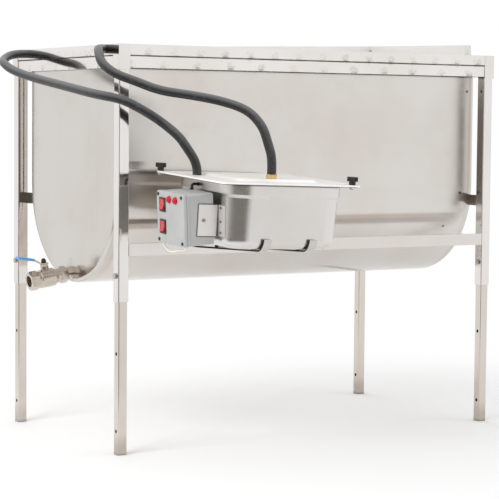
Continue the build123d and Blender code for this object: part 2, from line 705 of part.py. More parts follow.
def lever_nut():
    """Domed cap nut over the end of the stem."""
    low = BOSS_TOP + GLAND_TALL + MOVE_GAP + LEVER_THICK
    cap = nut((BALL_PLACE, 0, low), (BALL_PLACE, 0, low + NUT_HEX), NUT_FLATS)
    dome = Pos(BALL_PLACE, 0, low + NUT_HEX) * Sphere(NUT_DOME)
    reach = NUT_FLATS
    cap += dome & block(
        (BALL_PLACE - reach, -reach, low + NUT_HEX / 2), (BALL_PLACE + reach, reach, low + NUT_HEX + NUT_DOME))
    hole_top = low + NUT_TALL + FIT_GAP
    return DRAIN_FRAME * (cap - rod((BALL_PLACE, 0, low), (BALL_PLACE, 0, hole_top), NUT_THREAD + FIT_GAP / 2))


def stud_holes(radius):
    deep = LID_LIP + STUD_DROP
    return [rod((x, y, -deep), (x, y, DOME_TALL), radius) for x, y in (KNOB_LEFT, KNOB_RIGHT)]


def frustum(low, high, long, wide, shrink, corner):
    """Rounded rectangle that narrows from one height to another."""
    base = Pos(0, 0, low) * RectangleRounded(long, wide, corner)
    top_corner = max(corner - shrink, LID_SHEET)
    top = Pos(0, 0, high) * RectangleRounded(long - 2 * shrink, wide - 2 * shrink, top_corner)
    return loft([base, top])


def tank_lid():
    lid = slab(-LID_LIP, 0, LID_LONG, LID_WIDE, LID_CORNER)
    inner_long, inner_wide = LID_LONG - 2 * LID_SHEET, LID_WIDE - 2 * LID_SHEET
    lid -= slab(-LID_LIP, -LID_SHEET, inner_long, inner_wide, LID_CORNER - LID_SHEET)
    lid = Pos(*LID_SHIFT) * lid
    lid += frustum(0, DOME_TALL, DOME_LONG, DOME_WIDE, DOME_RUN, DOME_CORNER)
    lid -= frustum(-LID_SHEET, DOME_TALL - LID_SHEET, DOME_LONG, DOME_WIDE, DOME_RUN, DOME_CORNER)
    for hole in stud_holes(STUD_RADIUS + MOVE_GAP):
        lid -= hole
    for x, y in (RETURN_TAIL, SUPPLY_TAIL):
        lid -= rod((x, y, -LID_LIP), (x, y, DOME_TALL), TAIL_RADIUS + FIT_GAP)
    return PAN_FRAME * lid


def lid_gasket():
    long, wide = LID_LONG - 2 * FLANGE_INSET, LID_WIDE - 2 * FLANGE_INSET
    ring = slab(GASKET_LOW, -LID_SHEET, long, wide, LID_CORNER)
    inner_long, inner_wide = long - 2 * GASKET_BORDER, wide - 2 * GASKET_BORDER
    ring -= slab(GASKET_LOW, -LID_SHEET, inner_long, inner_wide, PAN_CORNER)
    ring = Pos(*LID_SHIFT) * ring
    for hole in stud_holes(STUD_RADIUS + MOVE_GAP):
        ring -= hole
    return PAN_FRAME * ring


def pan_lower(inset):
    """Tapered lower part of the pan, drawn in from its outer face."""
    high, low = PAN_WALL_TOP, PAN_UNDER + inset
    shrink = (high - low) * tan(radians(PAN_TAPER))
    long, wide = PAN_LONG - 2 * (PAN_STEP + inset), PAN_WIDE - 2 * (PAN_STEP + inset)
    corner = PAN_CORNER - PAN_STEP - inset
    lower = Pos(PAN_SHIFT) * frustum(high, low, long, wide, shrink, corner)
    bottom = lower.faces().sort_by(Axis.Z)[0]
    return fillet(bottom.edges(), PAN_ROUND - inset)


def pan_form(inset):
    """Band, sloping step and tapered lower part of the pan, drawn in from its outer face."""
    long, wide, corner = PAN_LONG - 2 * inset, PAN_WIDE - 2 * inset, PAN_CORNER - inset
    form = slab(PAN_STEP_HEIGHT, GASKET_LOW, long, wide, corner)
    form += frustum(PAN_STEP_HEIGHT, PAN_WALL_TOP, long, wide, PAN_STEP, corner)
    return Pos(PAN_SHIFT) * form + pan_lower(inset)


def tank_pan():
    flange_long, flange_wide = LID_LONG - 2 * FLANGE_INSET, LID_WIDE - 2 * FLANGE_INSET
    flange = slab(GASKET_LOW - LID_SHEET, GASKET_LOW, flange_long, flange_wide, LID_CORNER)
    pan = pan_form(0) + Pos(*LID_SHIFT) * flange - pan_form(PAN_SHEET)
    for hole in stud_holes(STUD_RADIUS + MOVE_GAP):
        pan -= hole
    z = PAN_FLOOR + HEATER_LIFT
    pan -= rod((-PAN_LONG, HEATER_ACROSS, z), (0, HEATER_ACROSS, z), HEATER_BOSS + FIT_GAP)
    return PAN_FRAME * pan


def tank_straps():
    """Flat bars welded to the carrier rail, with rests under the pan and hooks along its front wall."""
    straps = []
    middle, top = PAN_UNDER - STRAP_THICK / 2, PAN_UNDER + STRAP_HOOK
    shift = (PAN_LONG - PAN_WIDE) / 2 - PAN_SHIFT - STRAP_GAP - STRAP_THICK / 2
    foot, tip = pan_wall(middle) + shift, pan_wall(top) + shift
    fall = tan(radians(STRAP_FALL))
    back = (PAN_WIDE, middle - (PAN_WIDE - foot) * fall)
    line = FilletPolyline(back, (foot, middle), (tip, top), radius=STRAP_BEND)
    bar = extrude(Plane.YZ * trace(line, STRAP_THICK), STRAP_WIDE / 2, both=True)
    for rest in STRAP_RESTS:
        near, far = rest - REST_LONG / 2, rest + REST_LONG / 2
        side = make_face(Polyline(
            (near, PAN_UNDER), (far, PAN_UNDER), (far, middle - (far - foot) * fall),
            (near, middle - (near - foot) * fall), close=True))
        bar += extrude(Plane.YZ * side, STRAP_WIDE / 2, both=True)
    far = FRAME_LENGTH
    before_frame = block((-far, -far, -far), (far, -HALF_WIDTH, far))
    for x in (STRAP_LEFT, STRAP_RIGHT):
        straps.append((PAN_FRAME * Pos(x) * bar) & before_frame)
    return straps


def clamp_knob(x, y):
    low = MOVE_GAP
    head_low = low + KNOB_HUB_TALL
    head = rod((x, y, head_low), (x, y, head_low + KNOB_HEAD_TALL), KNOB_HEAD)
    for index in range(KNOB_LOBES):
        angle = index * 2 * pi / KNOB_LOBES
        lobe_x, lobe_y = x + KNOB_HEAD * cos(angle), y + KNOB_HEAD * sin(angle)
        head += rod((lobe_x, lobe_y, head_low), (lobe_x, lobe_y, head_low + KNOB_HEAD_TALL), KNOB_LOBE)
    knob = head + rod((x, y, low), (x, y, head_low), KNOB_HUB)
    return PAN_FRAME * (knob + rod((x, y, -STUD_DROP), (x, y, low), STUD_RADIUS))


def clamp_nuts():
    nuts = []
    high = GASKET_LOW - LID_SHEET
    low = high - STUD_NUT_TALL
    for x, y in (KNOB_LEFT, KNOB_RIGHT):
        form = nut((x, y, low), (x, y, high), STUD_NUT_FLATS)
        nuts.append(PAN_FRAME * (form - rod((x, y, low), (x, y, high), STUD_RADIUS + RUN_GAP)))
    return nuts


def hose_tails():
    """Return tail on the flat of the lid and supply tail on the raised field."""
    x, y = RETURN_TAIL
    back = rod((x, y, -TAIL_END), (x, y, TAIL_STEM), TAIL_RADIUS)
    back += hexagon((x, y, -LID_SHEET - TAIL_LOCK_TALL), (x, y, -LID_SHEET), TAIL_NUT_FLATS)
    back -= rod((x, y, -TAIL_END), (x, y, TAIL_STEM), TAIL_BORE)
    x, y = SUPPLY_TAIL
    under, top = DOME_TALL - LID_SHEET, DOME_TALL + TAIL_NUT_TALL
    out = rod((x, y, -TAIL_END), (x, y, top + TAIL_STEM), TAIL_RADIUS)
    out += nut((x, y, DOME_TALL), (x, y, top), TAIL_NUT_FLATS)
    out += hexagon((x, y, under - TAIL_LOCK_TALL), (x, y, under), TAIL_NUT_FLATS)
    out -= rod((x, y, -TAIL_END), (x, y, top + TAIL_STEM), TAIL_BORE)
    return [PAN_FRAME * back, PAN_FRAME * out]


def pump_axis():
    return SUPPLY_TAIL[0] + PUMP_OFFSET, SUPPLY_TAIL[1]


def pump_body():
    x, y = pump_axis()
    low, top = PAN_FLOOR, PAN_FLOOR + PUMP_TALL
    floor, ceiling = low + PUMP_FLOOR, low + PUMP_FLOOR + CHAMBER_TALL
    body = rod((x, y, low), (x, y, top), PUMP_RADIUS)
    body -= rod((x, y, floor), (x, y, ceiling), IMPELLER_RADIUS + IMPELLER_GAP)
    body -= rod((x, y, low), (x, y, floor), INTAKE_RADIUS)
    half = INTAKE_SLOT / 2
    far = 2 * PUMP_RADIUS
    slot_top = floor - PUMP_WEB
    body -= block((x - half, y - far, low), (x + half, y + far, slot_top))
    body -= block((x - far, y - half, low), (x + far, y + half, slot_top))
    body -= rod((x, y, ceiling), (x, y, floor + SHAFT_LONG), SHAFT_RADIUS + RUN_GAP)
    x, y = SUPPLY_TAIL
    return PAN_FRAME * (body - rod((x, y, ceiling), (x, y, top), TAIL_BORE))


def pump_impeller():
    x, y = pump_axis()
    low = PAN_FLOOR + PUMP_FLOOR + IMPELLER_GAP
    high = PAN_FLOOR + PUMP_FLOOR + CHAMBER_TALL - IMPELLER_GAP
    wheel = rod((x, y, low), (x, y, low + IMPELLER_DISC), IMPELLER_RADIUS)
    wheel += rod((x, y, low), (x, y, PAN_FLOOR + PUMP_FLOOR + SHAFT_LONG - MOVE_GAP), SHAFT_RADIUS)
    blade = block((0, -BLADE_THICK / 2, low), (IMPELLER_RADIUS, BLADE_THICK / 2, high))
    for index in range(BLADE_COUNT):
        wheel += Pos(x, y) * Rot(0, 0, index * 360 / BLADE_COUNT) * blade
    return PAN_FRAME * wheel


def riser_pipe():
    x, y = SUPPLY_TAIL
    low = PAN_FLOOR + PUMP_TALL
    return PAN_FRAME * (rod((x, y, low), (x, y, -TAIL_END), RISER_RADIUS)
                        - rod((x, y, low), (x, y, -TAIL_END), TAIL_BORE))


def water_heater():
    """Hairpin element on a boss that goes through the pan's wall to the box."""
    z = PAN_FLOOR + HEATER_LIFT
    y = HEATER_ACROSS
    plate = pan_wall(z) + 2 * HEATER_PLATE_THICK
    near, far = y - HEATER_PITCH / 2, y + HEATER_PITCH / 2
    end = plate + HEATER_REACH
    boss = rod((BOX_FACE, y, z), (plate, y, z), HEATER_BOSS) - BOX_TILT * box_slab(-BOX_DEEP, BOX_DEEP, 0)
    boss += rod((plate, y, z), (plate + HEATER_PLATE_THICK, y, z), HEATER_PLATE)
    start = plate + HEATER_PLATE_THICK / 2
    points = [(start, near, z), (end, near, z), (end, far, z), (start, far, z)]
    hairpin, _ = tube(points, HEATER_PITCH * BEND_SHARE, HEATER_TUBE, HEATER_TUBE / 2)
    return PAN_FRAME * (boss + hairpin)


def box_slab(low, high, inset):
    """Rounded block of the control box between two depths behind its cover's face."""
    outline = RectangleRounded(BOX_WIDE - 2 * inset, BOX_TALL - 2 * inset, BOX_ROUND - inset)
    return extrude(Plane.YZ.offset(low) * outline, high - low)


def cover_screw_places():
    return [(across * COVER_SCREW_ACROSS, up * COVER_SCREW_UP) for across in (-1, 1) for up in (-1, 1)]


def box_base():
    """Hollow base with a thickened edge, an open joint behind the cover and a post for each screw."""
    band, walls = COVER_DEEP + GROOVE_WIDE, COVER_DEEP + GROOVE_WIDE + BASE_BAND
    base = box_slab(COVER_DEEP, band, GROOVE_DEEP) + box_slab(band, walls, 0)
    base += box_slab(walls, BOX_DEEP, BASE_INSET)
    base -= box_slab(COVER_DEEP, BOX_DEEP - BOX_WALL, BASE_INSET + BOX_WALL)
    for y, z in cover_screw_places():
        base += rod((BOX_WALL, y, z), (BOX_DEEP - BOX_WALL / 2, y, z), BOX_POST)
        base -= rod((0, y, z), (COVER_SCREW_LONG + FIT_GAP, y, z), COVER_SCREW_SHANK + FIT_GAP)
    return BOX_FRAME * base


def switch_places():
    return [(SWITCH_ACROSS, up) for up in SWITCH_UP]


def lamp_places():
    return [(across, LAMP_UP) for across in LAMP_ACROSS]


def switch_block(place, low, high, wide, tall):
    y, z = place
    return block((low, y - wide / 2, z - tall / 2), (high, y + wide / 2, z + tall / 2))


def box_cover():
    cover = box_slab(0, COVER_DEEP, 0)
    cover = fillet(cover.faces().sort_by(Axis.X)[0].edges(), COVER_ROUND)
    cover -= box_slab(BOX_WALL, COVER_DEEP, BOX_WALL)
    for y, z in cover_screw_places():
        cover -= rod((0, y, z), (COVER_DEEP, y, z), COVER_SCREW_SHANK + FIT_GAP)
    for place in switch_places():
        wide, tall = SWITCH_BODY_WIDE + 2 * FIT_GAP, SWITCH_BODY_TALL + 2 * FIT_GAP
        cover -= switch_block(place, 0, COVER_DEEP, wide, tall)
    for y, z in lamp_places():
        cover -= rod((0, y, z), (COVER_DEEP, y, z), LAMP_STEM + FIT_GAP)
    return BOX_FRAME * cover


def cover_screws():
    screws = []
    for y, z in cover_screw_places():
        head = rod((-COVER_SCREW_PROUD, y, z), (0, y, z), COVER_SCREW_HEAD)
        screws.append(BOX_FRAME * (head + rod((0, y, z), (COVER_SCREW_LONG, y, z), COVER_SCREW_SHANK)))
    return screws


def switch_frames():
    frames = []
    for y, z in switch_places():
        place = (y, z)
        frame = switch_block(place, -SWITCH_PROUD, 0, SWITCH_WIDE, SWITCH_TALL)
        frame += switch_block(place, 0, SWITCH_DEEP, SWITCH_BODY_WIDE, SWITCH_BODY_TALL)
        well_wide, well_tall = ROCKER_WIDE + 2 * ROCKER_SIDE, ROCKER_TALL + 2 * ROCKER_END
        frame -= switch_block(place, -SWITCH_PROUD, SWITCH_DEEP - BOX_WALL, well_wide, well_tall)
        half = SWITCH_BODY_WIDE / 2
        frame -= rod((ROCKER_SINK, y - half, z), (ROCKER_SINK, y + half, z), ROCKER_PIN + RUN_GAP)
        frames.append(BOX_FRAME * frame)
    return frames


def rocker(place):
    """Dished cap on a cross pin, resting tilted to one side."""
    y, z = place
    half = ROCKER_TALL / 2
    front = -ROCKER_SINK - ROCKER_PROUD
    outline = make_face(Polyline(
        (ROCKER_HIND, -half), (ROCKER_HIND, half), (front, half), (front + ROCKER_DISH, 0), (front, -half),
        close=True))
    cap = extrude(Plane.XZ * outline, ROCKER_WIDE / 2, both=True)
    pin = SWITCH_BODY_WIDE / 2 - FIT_GAP
    cap += rod((0, -pin, 0), (0, pin, 0), ROCKER_PIN)
    return BOX_FRAME * (Pos(ROCKER_SINK, y, z) * Rot(0, ROCKER_TILT, 0) * cap)


def signal_lamps():
    lamps = []
    bulge = (LAMP_RADIUS ** 2 + LAMP_DOME ** 2) / (2 * LAMP_DOME)
    for y, z in lamp_places():
        front = -LAMP_COLLAR
        lamp = rod((front, y, z), (0, y, z), LAMP_RADIUS)
        ball = Pos(front - LAMP_DOME + bulge, y, z) * Sphere(bulge)
        lamp += ball & block((front - LAMP_DOME, y - bulge, z - bulge), (front, y + bulge, z + bulge))
        lamp += rod((0, y, z), (LAMP_STEM_LONG, y, z), LAMP_STEM)
        lamps.append(BOX_FRAME * lamp)
    return lamps


def pan_wall(z):
    """Local X of the pan's left wall at a height."""
    return PAN_SHIFT - (PAN_LONG / 2 - PAN_STEP - (PAN_WALL_TOP - z) * tan(radians(PAN_TAPER)))


def box_bracket():
    """Angle plate from the side of the box round onto the pan's left wall."""
    low, high = BRACKET_DOWN - BRACKET_TALL / 2, BRACKET_DOWN + BRACKET_TALL / 2
    start = pan_wall(BRACKET_DOWN) - BRACKET_REACH
    plate = block((start, BOX_SIDE - BRACKET_SHEET, low), (0, BOX_SIDE, high))
    reach = block((2 * BOX_FACE, BOX_SIDE - BRACKET_WRAP, low), (0, BOX_SIDE, high))
    strip = pan_lower(-BRACKET_SHEET) & reach
    return PAN_FRAME * (plate + strip - pan_lower(0))


def bracket_fasteners():
    """Rivets in the strip on the pan and one screw into the side of the box."""
    pieces = []
    for up in RIVET_UP:
        y, z = BOX_SIDE - RIVET_IN, BRACKET_DOWN + up
        head = pan_wall(z) - BRACKET_SHEET - RIVET_TALL
        rivet = rod((head, y, z), (0, y, z), RIVET_RADIUS) - pan_lower(-BRACKET_SHEET)
        pieces.append(PAN_FRAME * rivet.solids().sort_by(Axis.X)[0])
    x = pan_wall(BRACKET_DOWN) - BRACKET_REACH + BRACKET_SCREW_IN
    y, z = BOX_SIDE - BRACKET_SHEET, BRACKET_DOWN
    screw = rod((x, y - BRACKET_SCREW_TALL, z), (x, y, z), BRACKET_SCREW_RADIUS)
    return pieces + [PAN_FRAME * screw]


def lead_ends():
    """Upper face of the box gland, corner of the lead and outer face of the pan gland."""
    foot = (BOX_TILT * Pos(BOX_DEEP - LEAD_FROM_BACK, 0, BOX_TALL / 2 - BASE_INSET)).position
    x = foot.X
    return [
        (x, LEAD_ACROSS, foot.Z + BOX_GLAND_TALL),
        (x, LEAD_ACROSS, -LEAD_UP),
        (PAN_SHIFT - PAN_LONG / 2 - PAN_GLAND_LONG, LEAD_ACROSS, -LEAD_UP),
    ]


def grommets():
    """Inner and outer face of the cable's two grommets in the box's frame."""
    side, under = BOX_WIDE / 2 - BASE_INSET, BASE_INSET - BOX_TALL / 2
    return (
        ((CABLE_DEPTH, side, GROMMET_DOWN), (CABLE_DEPTH, side + GROMMET_TALL, GROMMET_DOWN)),
        ((CABLE_DEPTH, GROMMET_ACROSS, under), (CABLE_DEPTH, GROMMET_ACROSS, under - GROMMET_TALL)),
    )


def cable_glands():
    start, _, end = lead_ends()
    inside = (start[0], start[1], start[2] - BOX_TALL / 2)
    wall = (end[0] + PAN_GLAND_LONG, end[1], end[2])
    on_box = rod(inside, start, GLAND_RADIUS) - BOX_TILT * box_slab(0, BOX_DEEP, BASE_INSET)
    glands = [PAN_FRAME * on_box, PAN_FRAME * rod(end, wall, GLAND_RADIUS)]
    (side, side_face), (under, under_face) = grommets()
    return glands + [BOX_FRAME * rod(side, side_face, GROMMET_RADIUS),
                     BOX_FRAME * rod(under, under_face, GROMMET_RADIUS)]


def pump_lead():
    path = FilletPolyline(*lead_ends(), radius=LEAD_BEND)
    section = Plane(origin=path @ 0, z_dir=path % 0) * Circle(LEAD_RADIUS)
    return PAN_FRAME * sweep(section, path)


def box_cable():
    """Thin cable that hangs in a loop from the side of the box to its underside."""
    (_, start), (_, end) = grommets()
    points = [start] + [(CABLE_DEPTH, across, up) for across, up in CABLE_ROUTE] + [end]
    path = FilletPolyline(*points, radius=route_bends(points))
    print("box cable length", round(path.length))
    section = Plane(origin=path @ 0, z_dir=path % 0) * Circle(CABLE_RADIUS)
    return BOX_FRAME * sweep(section, path)


def pan_point(x, y, z):
    """World place of a point in the pan's frame."""
    return tuple((PAN_FRAME * Pos(x, y, z)).position)


def route_bends(points):
    """Largest tangent arc that the two runs at each corner leave room for."""
    bends = []
    for before, here, after in zip(points, points[1:], points[2:]):
        first, second = Vector(*here) - Vector(*before), Vector(*after) - Vector(*here)
        half_turn = radians(first.get_angle(second)) / 2
        bends.append(BEND_SHARE * min(first.length, second.length) / tan(half_turn))
    return bends


def hose_points(name):
    """Whole route of a hose, straight out of its tail and straight into its nipple."""
    if name == "supply":
        place, height, first, last = SUPPLY_TAIL, DOME_TALL + TAIL_NUT_TALL, SUPPLY_EXIT, SUPPLY_ENTRY
        route = SUPPLY_ROUTE
    else:
        place, height, first, last = RETURN_TAIL, 0, RETURN_EXIT, RETURN_ENTRY
        route = RETURN_ROUTE
    face, out = nipple_aims()[name]
    corner = Vector(-HALF_LENGTH, -HALF_WIDTH, TOP_HEIGHT)
    start = [pan_point(*place, height), pan_point(*place, height + first)]
    middle = [tuple(corner + Vector(*point)) for point in route]
    return start + middle + [tuple(face + out * last), tuple(face - out * HOSE_RADIUS)]


def hose(name):
    """Hose from its tail on the lid, cut off flush with the rim's face."""
    points = hose_points(name)
    bends = route_bends(points)
    solid, length = tube(points, bends, HOSE_RADIUS, HOSE_BORE)
    section = pi * (HOSE_RADIUS ** 2 - HOSE_BORE ** 2)
    print(name, "hose length", round(length - HOSE_RADIUS), "bends", [round(bend) for bend in bends])
    print(name, "hose volume over section times length", round(solid.volume / (section * length), 5))
    return solid - rim_block(0)


def nipple_aims():
    """Hose end on the rim's face and outward direction of each nipple."""
    turn = radians(SUPPLY_TURN)
    return {
        "supply": (Vector(-RIM_FACE, SUPPLY_ACROSS, NIPPLE_HEIGHT), Vector(-cos(turn), -sin(turn), 0)),
        "return": (Vector(-RIM_FACE, RETURN_ACROSS, NIPPLE_HEIGHT), Vector(-1, 0, 0)),
    }


def pipe_routes():
    """Pipe from each nipple through the rim and the end panel to its manifold."""
    routes = []
    feed_z = KNIFE_Z + MANIFOLD_FEED
    feed_y = TROUGH_BORE - MANIFOLD_DEEP / 2
    for name, depth in (("supply", -1), ("return", 1)):
        face, out = nipple_aims()[name]
        inside = face - out * ((TROUGH_LEFT + TROUGH_SHEET + PIPE_INSIDE + RIM_FACE) / -out.X)
        manifold = Vector(KNIFE_X - MANIFOLD_LONG / 2, depth * feed_y, feed_z)
        corner = manifold - Vector((manifold.X - inside.X) / 2, 0, 0)
        routes.append([face + out * NIPPLE_OUT, inside, corner, manifold])
    return routes


def pipe_cores(radius):
    """Straight bars along the first run of each pipe, for its holes."""
    return [rod(tuple(route[0]), tuple(route[1]), radius) for route in pipe_routes()]


def knife_pipes():
    pipes = []
    for route in pipe_routes():
        solid, _ = tube([tuple(point) for point in route], PIPE_BEND, NIPPLE_RADIUS, NIPPLE_BORE)
        pipes.append(solid)
    return pipes


def manifold(depth):
    """Block on the trough's wall that feeds the knives through their hollow trunnions."""
    wall, face = depth * TROUGH_BORE, depth * MANIFOLD_FACE
    half_long, half_tall = MANIFOLD_LONG / 2, MANIFOLD_TALL / 2
    middle_z = KNIFE_Z + MANIFOLD_FEED / 2
    body = block(
        (KNIFE_X - half_long, min(wall, face), middle_z - half_tall),
        (KNIFE_X + half_long, max(wall, face), middle_z + half_tall))
    y = depth * (TROUGH_BORE - MANIFOLD_DEEP / 2)
    feed_z = KNIFE_Z + MANIFOLD_FEED
    last = KNIFE_X + KNIFE_PITCH / 2
    body -= rod((KNIFE_X - half_long, y, feed_z), (last, y, feed_z), NIPPLE_BORE)
    for side in (-1, 1):
        x = KNIFE_X + side * KNIFE_PITCH / 2
        bottom = depth * (MANIFOLD_FACE + TRUNNION_LONG + FIT_GAP)
        body -= rod((x, face, KNIFE_Z), (x, bottom, KNIFE_Z), TRUNNION_RADIUS + RUN_GAP)
        body -= rod((x, bottom - depth * NIPPLE_BORE, KNIFE_Z), (x, bottom - depth * NIPPLE_BORE, feed_z),
                    NIPPLE_BORE / 2)
        body -= rod((x, y, feed_z), (x, bottom - depth * NIPPLE_BORE, feed_z), NIPPLE_BORE / 2)
    return body


def knife(side):
    """Hollow blade on two trunnions, its edge up and towards the other knife."""
    x = KNIFE_X + side * KNIFE_PITCH / 2
    reach = MANIFOLD_FACE - MOVE_GAP
    edge_x = KNIFE_X + side * KNIFE_EDGE_GAP / 2
    base, edge = KNIFE_BASE_THICK / 2, KNIFE_EDGE_THICK / 2
    blade = make_face(Polyline(
        (x - base, KNIFE_Z), (x + base, KNIFE_Z),
        (edge_x + edge, KNIFE_Z + KNIFE_EDGE_UP), (edge_x - edge, KNIFE_Z + KNIFE_EDGE_UP), close=True))
    body = extrude(Plane.XZ * blade, reach, both=True)
    body += rod((x, -reach, KNIFE_Z), (x, reach, KNIFE_Z), KNIFE_TUBE)
    end = MANIFOLD_FACE + TRUNNION_LONG
    body += rod((x, -end, KNIFE_Z), (x, end, KNIFE_Z), TRUNNION_RADIUS)
    return body - rod((x, -end, KNIFE_Z), (x, end, KNIFE_Z), TRUNNION_BORE)


def strainer():
    """Perforated plate that rests on the trough's curved walls."""
    low = TROUGH_BOTTOM + STRAINER_HEIGHT
    half = sqrt(TROUGH_BORE ** 2 - (TROUGH_AXIS - low) ** 2) - STRAINER_GAP
    left, right = TROUGH_LEFT + STRAINER_INSET, TROUGH_RIGHT - STRAINER_INSET
    across = int(2 * half / STRAINER_PITCH)
    along = int((right - left) / STRAINER_PITCH)
    plate = Rectangle(right - left, 2 * half)
    plate -= GridLocations(STRAINER_PITCH, STRAINER_PITCH, along, across) * Circle(STRAINER_HOLE)
    return Pos((left + right) / 2, 0, low) * extrude(plate, STRAINER_SHEET)


def drip_tray():
    """Sloping sheet tray with a high back and right wall, hung on the rim by tabs."""
    right = HALF_LENGTH - TRAY_FROM_RIGHT
    floor = TOP_HEIGHT - TRAY_SINK
    sheet = TRAY_SHEET
    tray = block((-TRAY_LONG, -TRAY_FRONT, 0), (0, TRAY_BACK, sheet))
    tray += block((-TRAY_LONG, -TRAY_FRONT, 0), (0, -TRAY_FRONT + sheet, TRAY_FRONT_TALL))
    tray += block((-TRAY_LONG, TRAY_BACK - sheet, 0), (0, TRAY_BACK, TRAY_BACK_TALL))
    end = make_face(Polyline(
        (-TRAY_FRONT, 0), (TRAY_BACK, 0), (TRAY_BACK, TRAY_BACK_TALL), (-TRAY_FRONT, TRAY_END_TALL),
        close=True))
    tray += extrude(Plane.YZ.offset(-sheet) * end, sheet)
    tray += block((-TRAY_RETURN, -TRAY_FRONT, 0), (0, -TRAY_FRONT + sheet, TRAY_END_TALL))
    tray = Pos(right, 0, floor) * Rot(0, -TRAY_SLOPE, 0) * tray
    low = TOP_HEIGHT + MOVE_GAP
    half = TRAY_TAB_WIDE / 2
    for y in (-TRAY_TAB_AT, TRAY_TAB_AT):
        tray += block((right - 2 * sheet, y - half, low), (right + TRAY_TAB, y + half, low + sheet))
    left = right - TRAY_LONG + sheet
    tray += block((left, TRAY_BACK - sheet, low), (left + TRAY_TAB_WIDE, TRAY_BACK + TRAY_TAB, low + sheet))
    foot = floor - TRAY_LONG * sin(radians(TRAY_SLOPE)) + TRAY_FRONT_TALL / 2
    tray += block((left, -TRAY_FRONT, foot), (left + TRAY_TAB_WIDE, -TRAY_FRONT + sheet, low + sheet))
    tray += block((left, -TRAY_FRONT - TRAY_TAB, low), (left + TRAY_TAB_WIDE, -TRAY_FRONT, low + sheet))
    return tray


def build():
    """All pieces by node name; a list is a group of separate solids."""
    shell, end_left, end_right = trough()
    places = switch_places()
    pieces = {
        "corner_caps": corner_caps(),
        "long_rails": long_rails(),
        "end_rails": end_rails(),
        "trough_rim": trough_rim(),
        "tank_rail": carrier_bar(0) - carrier_bar(CARRIER_WALL),
        "trough_stays": trough_stays(),
        "lock_screws": lock_screws(),
        "trough_shell": shell,
        "trough_end_left": end_left,
        "trough_end_right": end_right,
        "drain_socket": drain_socket(),
        "valve_body": valve_body(),
        "valve_end_piece": valve_end_piece(),
        "valve_seats": valve_seats(),
        "valve_ball": valve_ball(),
        "valve_stem": valve_stem(),
        "stem_gland_nut": stem_gland_nut(),
        "valve_lever": valve_lever(),
        "lever_grip": lever_grip(),
        "lever_nut": lever_nut(),
        "tank_straps": tank_straps(),
        "tank_pan": tank_pan(),
        "lid_gasket": lid_gasket(),
        "tank_lid": tank_lid(),
        "clamp_knob_left": clamp_knob(*KNOB_LEFT),
        "clamp_knob_right": clamp_knob(*KNOB_RIGHT),
        "clamp_nuts": clamp_nuts(),
        "hose_tails": hose_tails(),
        "knife_pipes": knife_pipes(),
        "water_heater": water_heater(),
        "pump_body": pump_body(),
        "pump_impeller": pump_impeller(),
        "riser_pipe": riser_pipe(),
        "box_base": box_base(),
        "box_cover": box_cover(),
        "cover_screws": cover_screws(),
        "switch_frames": switch_frames(),
        "rocker_upper": rocker(places[0]),
        "rocker_lower": rocker(places[1]),
        "signal_lamps": signal_lamps(),
        "box_bracket": box_bracket(),
        "bracket_fasteners": bracket_fasteners(),
        "cable_glands": cable_glands(),
        "pump_lead": pump_lead(),
        "box_cable": box_cable(),
        "hose_supply": hose("supply"),
        "hose_return": hose("return"),
        "knife_left": knife(-1),
        "knife_right": knife(1),
        "manifolds": [manifold(-1), manifold(1)],
        "drip_tray": drip_tray(),
        "strainer": strainer(),
    }
    for name, (side, depth) in CORNERS.items():
        pieces["post_" + name] = post(side, depth)
        pieces["leg_" + name] = leg(side, depth)
    return pieces


os.makedirs("parts", exist_ok=True)
for node, shape in build().items():
    solids = []
    for piece in shape if isinstance(shape, list) else [shape]:
        solids.extend(piece.solids())
    export_step(solids[0] if len(solids) == 1 else Compound(children=solids), f"parts/{node}.step")
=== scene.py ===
from math import atan2, cos, radians, sin

import bpy
from mathutils import Matrix, Vector


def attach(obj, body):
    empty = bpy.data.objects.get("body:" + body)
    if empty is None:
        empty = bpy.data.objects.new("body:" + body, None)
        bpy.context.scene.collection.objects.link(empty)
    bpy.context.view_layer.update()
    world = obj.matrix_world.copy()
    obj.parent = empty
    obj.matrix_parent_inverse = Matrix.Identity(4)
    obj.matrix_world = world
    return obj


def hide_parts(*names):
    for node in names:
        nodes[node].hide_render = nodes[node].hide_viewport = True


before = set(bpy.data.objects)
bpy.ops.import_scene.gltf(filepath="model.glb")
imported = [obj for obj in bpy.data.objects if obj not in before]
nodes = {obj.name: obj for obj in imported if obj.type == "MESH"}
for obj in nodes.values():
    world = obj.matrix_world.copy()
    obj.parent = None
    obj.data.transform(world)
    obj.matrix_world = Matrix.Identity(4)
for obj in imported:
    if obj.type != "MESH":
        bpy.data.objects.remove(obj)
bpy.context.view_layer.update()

# Camera, fitted to the photograph
IMAGE_SIZE = 499
FOCAL_PIXELS = 1869.44
SENSOR = 36.0
CAMERA_PLACE = (-2.79116, -4.53613, 0.85090)
CAMERA_TURN = 0.54948
CAMERA_TILT = -0.06721
CAMERA_ROLL = 0.00881

